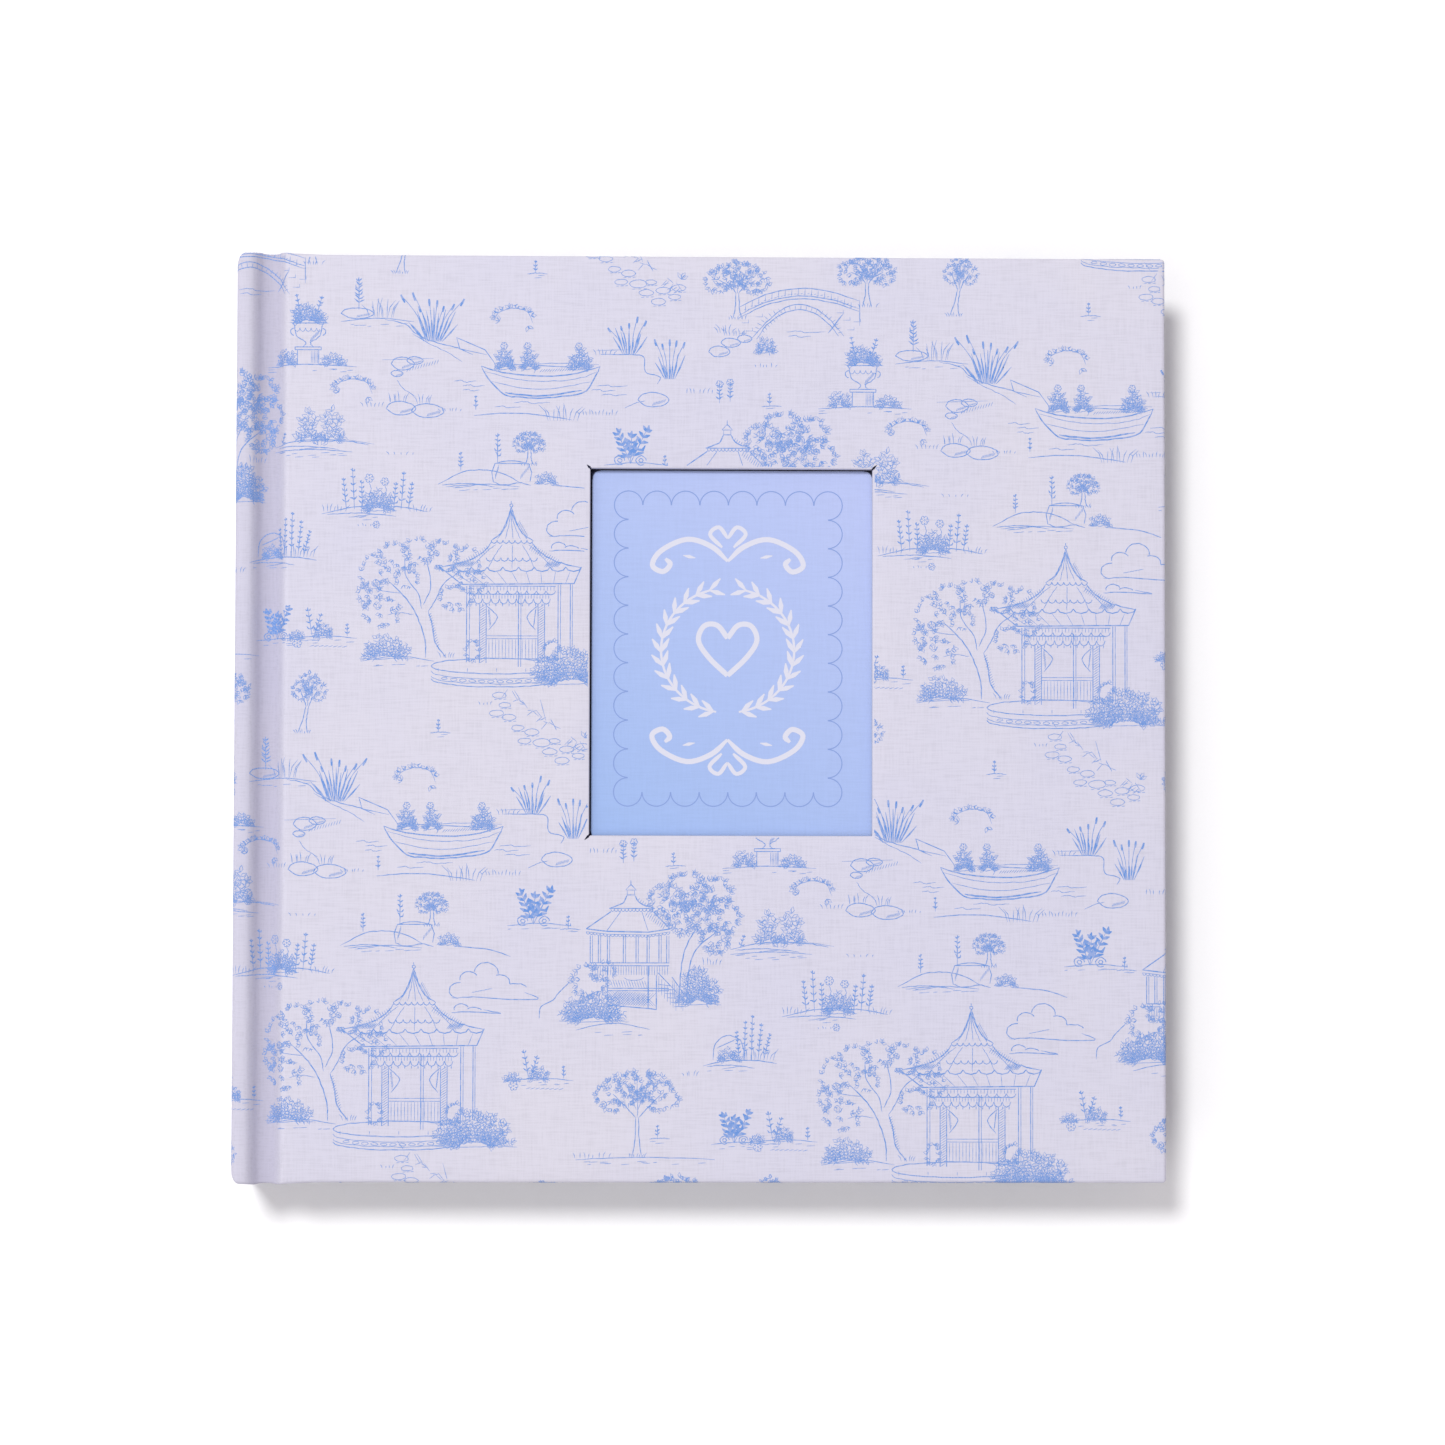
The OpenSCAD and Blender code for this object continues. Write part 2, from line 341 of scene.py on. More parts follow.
def ramp(tree, value, *stops):
    """Maps a value through (position, colour) stops."""
    node = tree.nodes.new("ShaderNodeValToRGB")
    band = node.color_ramp
    while len(band.elements) < len(stops):
        band.elements.new(0.5)
    for element, (position, colour) in zip(band.elements, stops):
        element.position = position
        element.color = colour
    tree.links.new(value, node.inputs["Fac"])
    return node.outputs["Color"]


def axes_of(tree, kind):
    """Sockets with the X, Y and Z of a kind of texture coordinate."""
    place = tree.nodes.new("ShaderNodeTexCoord")
    split = tree.nodes.new("ShaderNodeSeparateXYZ")
    tree.links.new(place.outputs[kind], split.inputs["Vector"])
    return split.outputs


def mixed(tree, first, second, factor, kind="MIX"):
    """Mixes two colours or sockets."""
    node = tree.nodes.new("ShaderNodeMix")
    node.data_type = "RGBA"
    node.blend_type = kind
    for socket, value in ((0, factor), (6, first), (7, second)):
        if isinstance(value, bpy.types.NodeSocket):
            tree.links.new(value, node.inputs[socket])
        else:
            node.inputs[socket].default_value = value
    return node.outputs[2]


def bump(tree, shader, height, distance, strength):
    """Lets a height of that distance shape the surface."""
    node = tree.nodes.new("ShaderNodeBump")
    node.inputs["Strength"].default_value = strength
    node.inputs["Distance"].default_value = distance
    tree.links.new(height, node.inputs["Height"])
    tree.links.new(node.outputs["Normal"], shader.inputs["Normal"])


THREAD = 2600                        # how fast the linen changes across its threads, per metre
RUN = 170                            # and along them


def linen(tree):
    """Height of the linen texture: fine threads both ways, the ones across the cover the stronger."""
    across = noise(tree, (RUN, THREAD, THREAD), 2)
    along = noise(tree, (THREAD, RUN, THREAD), 2)
    return mixed(tree, across, along, 0.42)


LINEN_BUMP = (0.05 * MM, 0.6)        # height of the threads, and strength
CLOTH = srgb(205, 203, 217)
INK_BLUE = srgb(92, 137, 205)


def cloth_material():
    """Off-white linen with faint clouds of blue and pink, and painted shade in the groove."""
    material, tree, shader = new_material("cover_cloth", CLOTH, 0.78)
    threads = ramp(tree, linen(tree), (0.3, grey(0.88)), (0.52, grey(0.975)), (0.7, grey(1.0)))
    clouds = ramp(tree, noise(tree, (18, 18, 18)), (0.35, srgb(207, 205, 217)), (0.65, srgb(203, 202, 218)))
    woven = mixed(tree, clouds, threads, 1.0, "MULTIPLY")
    # The cloth's colour is multiplied by the painted shade of the groove.
    tree.links.new(mixed(tree, woven, painted_groove_shade(tree), 1.0, "MULTIPLY"), shader.inputs["Base Color"])
    bump(tree, shader, linen(tree), *LINEN_BUMP)
    return material


GROOVE_SHADE_SPAN = 14 * MM                    # from the outside of the spine to the end of the painted shade along the groove


def painted_groove_shade(tree):
    """Painted shade along the spine's ridge and the groove: the cloth's colour is darkened where the groove lies
    in shade.
    """
    across = tree.nodes.new("ShaderNodeMapRange")
    across.inputs["From Min"].default_value = SPINE_X
    across.inputs["From Max"].default_value = SPINE_X + GROOVE_SHADE_SPAN
    tree.links.new(axes_of(tree, "Object")["X"], across.inputs["Value"])
    # Painted shade levels on the ridge, at the foot of the groove and up its far side.
    ridge, dark, less = srgb(247, 247, 250), srgb(221, 220, 228), srgb(230, 229, 236)
    return ramp(tree, across.outputs["Result"], (0.27, ridge), (0.4, dark), (0.72, less), (0.87, grey(1.0)))


def ink_material(name, colour, missing=0.0):
    """Ink on linen, in one even colour; missing is the share of the cloth that shows through it."""
    shown = tuple(ink * (1 - missing) + cloth * missing for ink, cloth in zip(colour, CLOTH))
    material, tree, shader = new_material(name, shown, 0.75)
    bump(tree, shader, linen(tree), *LINEN_BUMP)
    return material


def paper_material(name, colour, shade):
    """Paper with soft fibres along the page."""
    material, tree, shader = new_material(name, colour, 0.7)
    fibres = ramp(tree, noise(tree, (900, 260, 900), 5), (0.35, shade), (0.6, colour))
    tree.links.new(fibres, shader.inputs["Base Color"])
    bump(tree, shader, noise(tree, (2500, 2500, 2500), 2), 0.02 * MM, 0.5)
    return material


def card_material():
    """Insert card: a soft gradient from its fore-edge head corner, with a linen finish."""
    material, tree, shader = new_material("insert_card", srgb(176, 186, 228), 0.6)
    axes = axes_of(tree, "Generated")
    up_share = 0.62                  # how much of the gradient is along the card's height
    across = tree.nodes.new("ShaderNodeMath")
    across.operation = "MULTIPLY"
    across.inputs[1].default_value = 1 - up_share
    tree.links.new(axes["X"], across.inputs[0])
    total = tree.nodes.new("ShaderNodeMath")
    total.operation = "MULTIPLY_ADD"
    total.inputs[1].default_value = up_share
    tree.links.new(axes["Y"], total.inputs[0])
    tree.links.new(across.outputs[0], total.inputs[2])
    gradient = ramp(tree, total.outputs[0], (0.1, srgb(147, 174, 222)), (0.9, srgb(172, 184, 226)))
    threads = ramp(tree, linen(tree), (0.3, grey(0.94)), (0.6, grey(1.0)))
    tree.links.new(mixed(tree, gradient, threads, 1.0, "MULTIPLY"), shader.inputs["Base Color"])
    bump(tree, shader, linen(tree), 0.02 * MM, 0.4)
    return material


def film_material():
    """Clear, slightly wavy film."""
    material, tree, shader = new_material("sleeve_film", srgb(236, 241, 247), 0.12)
    shader.inputs["Alpha"].default_value = 0.2
    bump(tree, shader, noise(tree, (25, 25, 25), 1), 0.15 * MM, 0.35)
    return material


def gauze_material():
    """Open gauze with its threads both ways."""
    material, tree, shader = new_material("mull", srgb(226, 222, 204), 0.9)
    weave = mixed(tree, noise(tree, (60, 1200, 60), 1), noise(tree, (60, 60, 1200), 1), 0.5)
    tree.links.new(ramp(tree, weave, (0.4, srgb(176, 168, 146)), (0.55, srgb(231, 227, 210))),
                   shader.inputs["Base Color"])
    bump(tree, shader, weave, 0.1 * MM, 0.8)
    return material


def plain_material(name, colour, shade, roughness):
    """A matt surface with a fine speckle."""
    material, tree, shader = new_material(name, colour, roughness)
    grain = noise(tree, (1400, 1400, 1400), 4)
    tree.links.new(ramp(tree, grain, (0.4, shade), (0.6, colour)), shader.inputs["Base Color"])
    bump(tree, shader, grain, 0.04 * MM, 0.4)
    return material


MATERIALS = {
    "cover_cloth": cloth_material(),
    "insert_card": card_material(),
    "card_white": ink_material("card_ink_white", srgb(207, 208, 221)),
    "card_line": ink_material("card_ink_line", srgb(126, 149, 204)),
    "endpaper": paper_material("endpaper", srgb(186, 199, 243), srgb(178, 191, 237)),
    "page_card": paper_material("page_card", srgb(246, 244, 238), srgb(240, 237, 229)),
    "page_sleeve": film_material(),
    "cover_board": plain_material("cover_board", srgb(176, 168, 154), srgb(150, 142, 128), 0.9),
    "mull": gauze_material(),
    "binding_glue": plain_material("binding_glue", srgb(232, 218, 176), srgb(222, 204, 156), 0.35),
    "headband": plain_material("headband", srgb(222, 226, 242), srgb(204, 210, 236), 0.8),
    "headband_blue": plain_material("headband_blue", srgb(122, 145, 208), srgb(104, 128, 196), 0.8),
    "page_tape": plain_material("page_tape", srgb(232, 230, 226), srgb(222, 220, 214), 0.7),
    # Near-black, for painted shadow round the window and in its corner slits.
    "dark_board": plain_material("dark_board", srgb(26, 30, 56), srgb(16, 18, 38), 0.95),
}
# The ink of the cover, from full to worn: each short length of a stroke has one of these.
WEAR = (0.02, 0.14, 0.3)
INKS = [ink_material(f"cloth_ink_{i + 1}", INK_BLUE, wear) for i, wear in enumerate(WEAR)]

# ---- Case ----
front_cloth = case_half("cover_cloth_front", MATERIALS["cover_cloth"], True)
back_cloth = case_half("cover_cloth_back", MATERIALS["cover_cloth"], False)
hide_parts("front_cover_cloth", "spine_cloth")
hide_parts("back_cover_cloth")


def bend_with_cover(piece):
    """Bakes the piece's place into its mesh."""
    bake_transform(piece)


for piece, front in ((front_cloth, True), (back_cloth, False)):
    bend_with_cover(piece)

# ---- Print ----
# One repeat of the print, in millimetres: x from the outside of the spine, y up from the tail.
# It repeats along both of these.
REPEAT_ACROSS = np.array([136.4, -9.8])
REPEAT_DOWN = np.array([-23.3, -113.1])
FINE, LINE, BOLD = 0.15, 0.22, 0.4   # widths of the pen
OPEN_LEAVES = 0.55                   # share of the leaves that are drawn in outline
LOW_SHARE = 0.12                     # how far up a shrub its lowest leaves are


class Pen:
    """Collects strokes as (points, widths), in millimetres from its origin."""

    def __init__(self, seed):
        self.random = np.random.default_rng(seed)
        self.strokes = []
        self.origin = np.zeros(2)

    def line(self, points, width=LINE, taper=0.4):
        """A stroke along straight runs; its ends are narrower by the taper."""
        points = np.asarray(points, float)
        if len(points) == 2:
            points = np.array([points[0], points.mean(axis=0), points[1]])
        place = np.linspace(0, 1, len(points))
        share = np.clip(taper + 5 * np.minimum(place, 1 - place), 0, 1)
        self.strokes.append((points + self.origin, width * share))

    def curve(self, points, width=LINE, taper=0.4, wobble=0.08):
        """A stroke along a smooth curve, with a hand's unsteadiness."""
        points = smooth(points, 5)
        points[1:-1] += self.random.normal(0, wobble, points[1:-1].shape) * 0.6
        self.line(points, width, taper)

    def ring(self, x, y, rx, ry, start=0, stop=360, width=LINE, wobble=0.05):
        """Part of an ellipse, in degrees."""
        count = max(5, int((rx + ry) * abs(stop - start) / 100) + 4)
        turn = np.radians(np.linspace(start, stop, count))
        points = np.stack([x + rx * np.cos(turn), y + ry * np.sin(turn)], axis=1)
        self.line(points + self.random.normal(0, wobble, points.shape), width, 1)

    def leaf(self, x, y, angle, length, width=0.26):
        """One short curved dab of the pen."""
        along = np.array([math.cos(angle), math.sin(angle)])
        aside = np.array([-along[1], along[0]]) * self.random.normal(0, 0.16) * length
        base = np.array([x, y])
        points = np.array([base, base + along * length * 0.5 + aside, base + along * length])
        self.strokes.append((points + self.origin, width * np.array([0.5, 1, 0.25])))

    def open_leaf(self, x, y, angle, length):
        """The outline of a leaf."""
        along = np.array([math.cos(angle), math.sin(angle)]) * length
        aside = np.array([-along[1], along[0]]) * self.random.uniform(0.2, 0.34)
        base = np.array([x, y])
        points = [base, base + 0.5 * along + aside, base + along, base + 0.45 * along - aside, base]
        self.strokes.append((np.array(points) + self.origin, np.full(len(points), 0.9 * FINE)))

    def cluster(self, x, y, angle, size=0.9, count=3, width=0.2):
        """A few leaves that fan out from one point, some in outline and some solid."""
        for turn in np.linspace(-0.8, 0.8, count):
            turn += angle + self.random.normal(0, 0.25)
            if self.random.random() < OPEN_LEAVES:
                self.open_leaf(x, y, turn, 1.35 * size)
            else:
                self.leaf(x, y, turn, size * self.random.uniform(0.8, 1.3), width)

    def canopy(self, x, y, rx, ry, size=0.9, dense=1.0):
        """The leafy outline of a tree or shrub, fuller on its shaded lower right."""
        around = max(6, int(2.6 * (rx + ry) * dense / size))
        for turn in np.linspace(0, 2 * math.pi, around, endpoint=False):
            turn += self.random.normal(0, 0.12)
            reach = self.random.uniform(0.78, 1.02)
            self.cluster(
                x + rx * reach * math.cos(turn), y + ry * reach * math.sin(turn),
                turn + self.random.normal(0, 0.5), size,
            )
        for _ in range(int(0.55 * rx * ry * dense / size)):
            turn = self.random.uniform(0, 2 * math.pi)
            reach = self.random.uniform(0.1, 0.75)
            px, py = reach * math.cos(turn), reach * math.sin(turn)
            if px - py > self.random.uniform(-0.9, 0.6):
                self.cluster(x + rx * px, y + ry * py, turn, size, 3, 0.22)

    def bush(self, x, y, rx, ry, size=1.0, dense=1.0):
        """A shrub that stands on the ground at y: sprays of leaves from its foot."""
        sprays = int(2.6 * rx * dense)
        for turn in np.linspace(0.12, math.pi - 0.12, max(5, sprays)):
            reach = self.random.uniform(0.75, 1.05)
            tip = np.array([x + rx * reach * math.cos(turn), y + ry * reach * math.sin(turn)])
            foot = np.array([x + 0.3 * rx * math.cos(turn), y])
            lean = math.atan2(tip[1] - foot[1], tip[0] - foot[0])
            for share in np.arange(LOW_SHARE, 1.01, size * 0.85 / ry):
                px, py = foot + (tip - foot) * share
                count = 2 if share < 0.95 else 3
                self.cluster(px, py, lean + self.random.normal(0, 0.3), size, count)
        self.curve([(x - rx, y), (x - 0.3 * rx, y - 0.25), (x + 0.5 * rx, y), (x + 1.1 * rx, y - 0.2)], FINE)

    def grass(self, x, y, spread, height, count):
        """Blades that stand along the ground."""
        for place in np.linspace(-1, 1, count):
            foot = x + place * spread + self.random.normal(0, 0.15)
            tall = height * self.random.uniform(0.5, 1)
            lean = (0.5 * place + self.random.normal(0, 0.2)) * tall
            middle, tip = (foot + 0.3 * lean, y + 0.6 * tall), (foot + lean, y + tall)
            self.line([(foot, y), middle, tip], FINE + 0.04, 0.3)

    def reed(self, x, y, height, lean):
        """A bulrush: a stalk and its heavy head."""
        tip = np.array([x + lean, y + height])
        self.curve([(x, y), (x + 0.35 * lean, y + 0.55 * height), tip], FINE, 0.6, 0.02)
        fall = np.array([lean * 0.16, height * 0.17])
        self.line([tip - fall, tip - 0.5 * fall, tip], 0.55, 0.7)

    def reeds(self, x, y, height, count, spread):
        """Bulrushes that fan out from one foot, and the blades between them."""
        for place in np.linspace(-1, 1, count):
            tall = height * self.random.uniform(0.7, 1.05)
            self.reed(x + 0.3 * spread * place, y, tall, spread * place * self.random.uniform(0.8, 1.2))
        for place in np.linspace(-1, 1, 2 * count):
            foot = np.array([x + 0.4 * spread * place, y])
            across = spread * 0.7 * place + self.random.normal(0, 0.3)
            tip = foot + (across, height * self.random.uniform(0.35, 0.7))
            self.line([foot, (foot + tip) / 2 + (0.1, 0), tip], 0.42, 0.2)

    def ground(self, x0, x1, y, rise=0.6):
        """A broken, bowed line of ground with a few short marks under it."""
        middle, span = (x0 + x1) / 2, x1 - x0
        hill = [(middle - 0.2 * span, y + 0.8 * rise), (middle + 0.1 * span, y + rise)]
        self.curve([(x0, y), *hill, (x1, y + 0.1 * rise)], FINE + 0.04)
        for _ in range(int(span / 2.5)):
            left = self.random.uniform(x0, x1 - 2)
            down = y - self.random.uniform(0.3, 1.3)
            self.line([(left, down), (left + self.random.uniform(0.8, 2.2), down + 0.1)], FINE, 0.5)

    def water(self, x0, x1, y, rows):
        """Ripples."""
        for row in range(rows):
            left = self.random.uniform(x0, x0 + 0.4 * (x1 - x0))
            right = self.random.uniform(left + 0.3 * (x1 - x0), x1)
            level = y - 1.1 * row
            crest, trough = ((2 * left + right) / 3, level + 0.25), ((left + right) / 2, level - 0.15)
            self.curve([(left, level), crest, trough, (right, level + 0.1)], FINE)

    def rock(self, x, y, rx, ry):
        """A stone, hatched on its shaded side."""
        self.curve([(x - rx, y), (x - 0.7 * rx, y + 0.75 * ry), (x, y + ry), (x + 0.75 * rx, y + 0.6 * ry),
                    (x + rx, y - 0.1 * ry), (x + 0.5 * rx, y - 0.75 * ry), (x - 0.4 * rx, y - 0.8 * ry),
                    (x - rx, y)], LINE, 0.8, 0.05)
        self.hatch((x, y - 0.5 * ry), (x + 0.75 * rx, y - 0.1 * ry), int(2 * rx) + 2, 0.5 * ry, 1.1)

    def hatch(self, start, stop, count, length, angle, width=FINE):
        """Short parallel strokes along a line."""
        step = np.array([math.cos(angle), math.sin(angle)]) * length / 2
        for share in np.linspace(0, 1, count):
            centre = np.array(start) * (1 - share) + np.array(stop) * share
            self.line([centre - step, centre + step], width, 0.5)

    def sprig(self, x, y, height, pairs, length=1.2, lean=0.0, width=0.36):
        """A stem with leaves in pairs."""
        tip = np.array([x + lean, y + height])
        foot = np.array([x, y])
        self.line([foot, (foot + tip) / 2, tip], LINE, 0.5)
        rise = math.atan2(height, lean)
        for share in np.linspace(0.25, 1, pairs):
            px, py = foot + (tip - foot) * share
            for turn in (-0.85, 0.85):
                angle = rise + turn + self.random.normal(0, 0.12)
                self.leaf(px, py, angle, length * (1.15 - 0.5 * share), width)
        self.leaf(*tip, rise, length * 0.7, width)

    def dark_plant(self, x, y, size):
        """Broad solid leaves above two scrolls and a rosette."""
        for lean, tall in ((-0.45, 0.9), (0.05, 0.8), (0.6, 1.0)):
            self.sprig(x, y, size * tall, 5, 0.3 * size, lean * size * 0.8, 0.85)
        for side in (-1, 1):
            self.ring(x + side * 0.33 * size, y + 0.1 * size, 0.16 * size, 0.14 * size, 0, 300)
            self.ring(x + side * 0.33 * size, y + 0.1 * size, 0.07 * size, 0.06 * size)
        self.ground(x - 0.8 * size, x + 1.1 * size, y - 0.4)

    def blossom(self, x, y, radius, stalk=0.0):
        """A small open flower, on a stalk if it has one."""
        petal = 0.42 * radius
        for turn in np.linspace(0, 360, 6, endpoint=False):
            px = x + 0.6 * radius * math.cos(math.radians(turn))
            py = y + 0.6 * radius * math.sin(math.radians(turn))
            self.ring(px, py, petal, petal, turn - 120, turn + 120, FINE)
        self.ring(x, y, 0.2 * radius, 0.2 * radius, width=FINE)
        if stalk:
            top = y - radius
            self.curve([(x, top), (x + 0.15 * stalk, top - 0.5 * stalk), (x, top - stalk)], FINE)

    def tree(self, x, y, height, rx, ry, size=0.9, dense=1.0, bend=0.0):
        """A trunk, three boughs and the leaves round them."""
        fork = np.array([x + bend, y + 0.45 * height])
        crown = np.array([x + 1.4 * bend, y + height - ry])
        for side in (-1, 1):
            waist = (x + side * 0.5 + 0.4 * bend, y + 0.2 * height)
            elbow = fork + (side * 0.25 * rx, 0.35 * ry)
            self.curve([(x + side * 1.1, y), waist, fork + (side * 0.35, 0)])
            self.curve([fork + (side * 0.3, 0), elbow, crown + (side * 0.62 * rx, 0.1 * ry)])
            self.curve([fork + (side * 0.2, 0.3 * ry), crown + (side * 0.3 * rx, 0.55 * ry)], FINE)
        self.curve([fork, fork + (0.1, 0.5 * ry), crown + (0, 0.5 * ry)], FINE)
        for lobe, reach in ((-0.6, 0.05), (0.6, 0.0), (0.0, 0.45), (-0.32, 0.3), (0.36, 0.32)):
            self.canopy(crown[0] + lobe * rx, crown[1] + reach * ry, 0.46 * rx, 0.52 * ry, size, dense)
        self.grass(x, y - 0.2, 1.8, 1.2, 7)

    def scallops(self, start, stop, count, depth, width=LINE):
        """A hanging hem of round tabs."""
        start, stop = np.array(start, float), np.array(stop, float)
        step = (stop - start) / count
        for i in range(count):
            left = start + i * step
            self.line([left, left + 0.15 * step - (0, 0.7 * depth), left + 0.5 * step - (0, depth),
                       left + 0.85 * step - (0, 0.7 * depth), left + step], width, 0.8)

    def post(self, x, top, foot, width=0.0):
        """A pole, or a hatched post if it has a width."""
        self.line([(x, top), (x, foot)], LINE, 0.9)
        if width:
            self.line([(x + width, top), (x + width, foot)], LINE, 0.9)
            middle, count = x + width / 2, int((top - foot) * 1.6)
            self.hatch((middle, top - 0.5), (middle, foot + 0.5), count, width, 0.6)

    def mound(self, x, y, width, rise):
        """A low rise in broken contour lines."""
        self.curve([(x - width, y - 0.6), (x - 0.4 * width, y + 0.8 * rise), (x + 0.1 * width, y + rise),
                    (x + 0.6 * width, y + 0.7 * rise), (x + width, y)], LINE)
        self.curve([(x - 0.5 * width, y - 1.4), (x, y - 0.7), (x + 0.4 * width, y - 1.2)], FINE)
        self.ground(x - 0.9 * width, x + 0.2 * width, y - 0.8, 0.4)


def pavilion(pen):
    """A round garden pavilion with a tall tent roof."""
    pen.ring(2.7, 40.3, 0.4, 0.4)
    pen.line([(2.7, 40.7), (2.7, 41.4)])
    for hem, eave in ((-2.2, -14.7), (8.1, 20.0)):
        reach, far = (hem - 2.7) / 5, (eave - hem) / 12
        cap = [(2.7, 39.9), (2.7 + reach, 36.6), (2.7 + 2.6 * reach, 33.4), (hem, 31.6)]
        skirt = [(hem * 0.95, 31.3), (hem + 1.8 * far, 28.8), (hem + 6 * far, 26.4), (eave, 25.0)]
        pen.curve(cap, LINE + 0.05)
        pen.curve(skirt, LINE + 0.05)
    for foot in (-0.6, 1.2, 3.2, 5, 6.6):
        pen.curve([(2.7, 39.2), (2.7 + 0.35 * (foot - 2.7), 35.5), (foot, 32)], FINE)
    pen.scallops((-2.2, 31.7), (8.1, 31.7), 7, 0.8)
    pen.hatch((4.6, 36), (6.6, 32.6), 9, 1.3, 1.2)
    for top, foot in ((-1, -7.5), (0.6, -3), (3, 3), (5.4, 8.6), (7, 13.2)):
        pen.curve([(top, 30.6), (0.6 * top + 0.4 * foot, 28.6), (foot, 24.6)], FINE)
    pen.hatch((7.6, 30), (14, 26.3), 14, 1.7, 1.0)
    pen.hatch((-3, 29.6), (-9, 26), 12, 1.5, 2.0)
    pen.scallops((-3.4, 27.4), (9.2, 27.4), 7, 0.9)
    for place in (-8.4, 13):
        pen.hatch((place - 1.6, 25.8), (place + 1.6, 25.8), 9, 1.7, 0.9, LINE)
    pen.scallops((-14.7, 25), (20, 25.2), 9, 1.1, LINE + 0.05)
    pen.line([(-14.7, 25), (-9.3, 20.8), (18.2, 21.1), (20, 25.2)], LINE + 0.05, 0.8)
    for share in np.linspace(0.09, 0.92, 9):
        pen.line([(-14.7 + 34.7 * share, 24), (-9.3 + 27.5 * share, 20.9)], FINE)
    for left, right, top, depth in ((-7.6, 13.7, 20.4, 1.0), (-6.3, 12.4, 18.4, 1.3)):
        pen.line([(left, top), (right, top)], LINE, 0.9)
        pen.hatch((left + 0.4, top - 0.6), (right - 0.4, top - 0.6), 26, 1.0, 1.57)
        pen.scallops((left, top - 1.1), (right, top - 1.1), 9, depth)
    pen.hatch((-5.8, 15.8), (12, 15.8), 12, 0.7, 1.57, LINE)
    for x, top, foot, width in ((-8.1, 20.4, 1.7, 0.7), (-4.9, 16, 1.5, 1.6), (9.4, 16, 1.5, 1.6),
                                (4.6, 19, 0.6, 0.6), (14.3, 20.8, 2, 0.6), (17.3, 20.9, 3, 0.5)):
        pen.post(x, top, foot, width if width > 1 else 0)
        pen.line([(x + width, top), (x + width, foot)], FINE, 0.9)
    for side, edge in ((1, -3.2), (-1, 9.3)):
        pen.curve([(edge, 15.6), (edge + side * 2.6, 12.8), (edge + side * 0.5, 9.6)])
        pen.hatch((edge + side * 0.5, 14.6), (edge + side * 0.9, 11), 7, 1.3, 1.3)
        pen.canopy(edge - side * 3.4, 4.6, 1.5, 2.4, 0.8)
    for level in (8.2, 7.5, 2.6):
        pen.line([(-3.2, level), (9.3, level)], FINE, 0.9)
    pen.hatch((-2.6, 5), (8.8, 5), 15, 4.6, 1.57)
    pen.ring(-0.9, 0.75, 15.8, 1.9, width=LINE)
    for down in (1.3, 2.5, 3.2):
        pen.ring(-0.9, 0.75 - down, 15.8, 1.9, 180, 360, FINE if down < 3 else LINE)
    pen.hatch((-15, -0.2), (13.6, -0.2), 5, 0.9, 1.57)
    for place in np.linspace(-13.5, 11.6, 12):
        drop = 1.9 * math.sqrt(1 - ((place + 0.9) / 15.8) ** 2)
        pen.ring(place, 0.75 - drop - 1.9, 0.85, 0.35, width=FINE)
    pen.bush(-28, 2.6, 6.4, 5.6, 1.0, 0.9)
    pen.bush(17.6, -3.4, 9.6, 8.6, 1.1, 0.95)
    pen.ground(-34, -16, 1.8, 1.2)


def forked_tree(pen):
    """A leaning tree whose trunk forks low."""
    pen.curve([(-1.6, 0), (-1.8, 4.5), (-3.6, 9.8), (-6.4, 14.4), (-10.6, 18.6)], LINE + 0.06)
    pen.curve([(3.4, 0), (0.8, 3.6), (0, 8), (-1, 11.4)], LINE + 0.06)
    pen.curve([(-1, 11.4), (0.9, 14.4), (2.6, 18), (6.8, 21.4)])
    pen.curve([(-2.6, 12), (-3.4, 15.6), (-6.4, 19.8), (-6.8, 24.4)])
    pen.curve([(-2.2, 13), (-0.4, 17.6), (-1.4, 23.6)])
    pen.curve([(-7.4, 15.8), (-12.2, 16.4), (-15, 18.6)], FINE)
    pen.curve([(-4.6, 10.6), (-8, 11), (-11, 10.4)], FINE)
    pen.hatch((1.4, 3), (-0.6, 10.6), 14, 1.0, 0.7)
    for x, y, rx, ry in (
        (-14.2, 20.6, 3.4, 4.2), (-9.4, 24.4, 4, 3.6), (-3.2, 26, 3.8, 3), (2.6, 25, 3.6, 3.4),
        (8, 23.4, 3.4, 3.4), (9.6, 18.4, 3, 2.8), (-12.4, 11.4, 4.4, 3.4), (5.8, 14.6, 3.8, 2.8),
        (-6.4, 19.6, 2.4, 2.2), (-15.4, 15.4, 2.6, 2.4),
    ):
        pen.canopy(x, y, rx, ry, 0.9, 0.8)
    pen.grass(3.6, 0, 1.4, 1.6, 6)


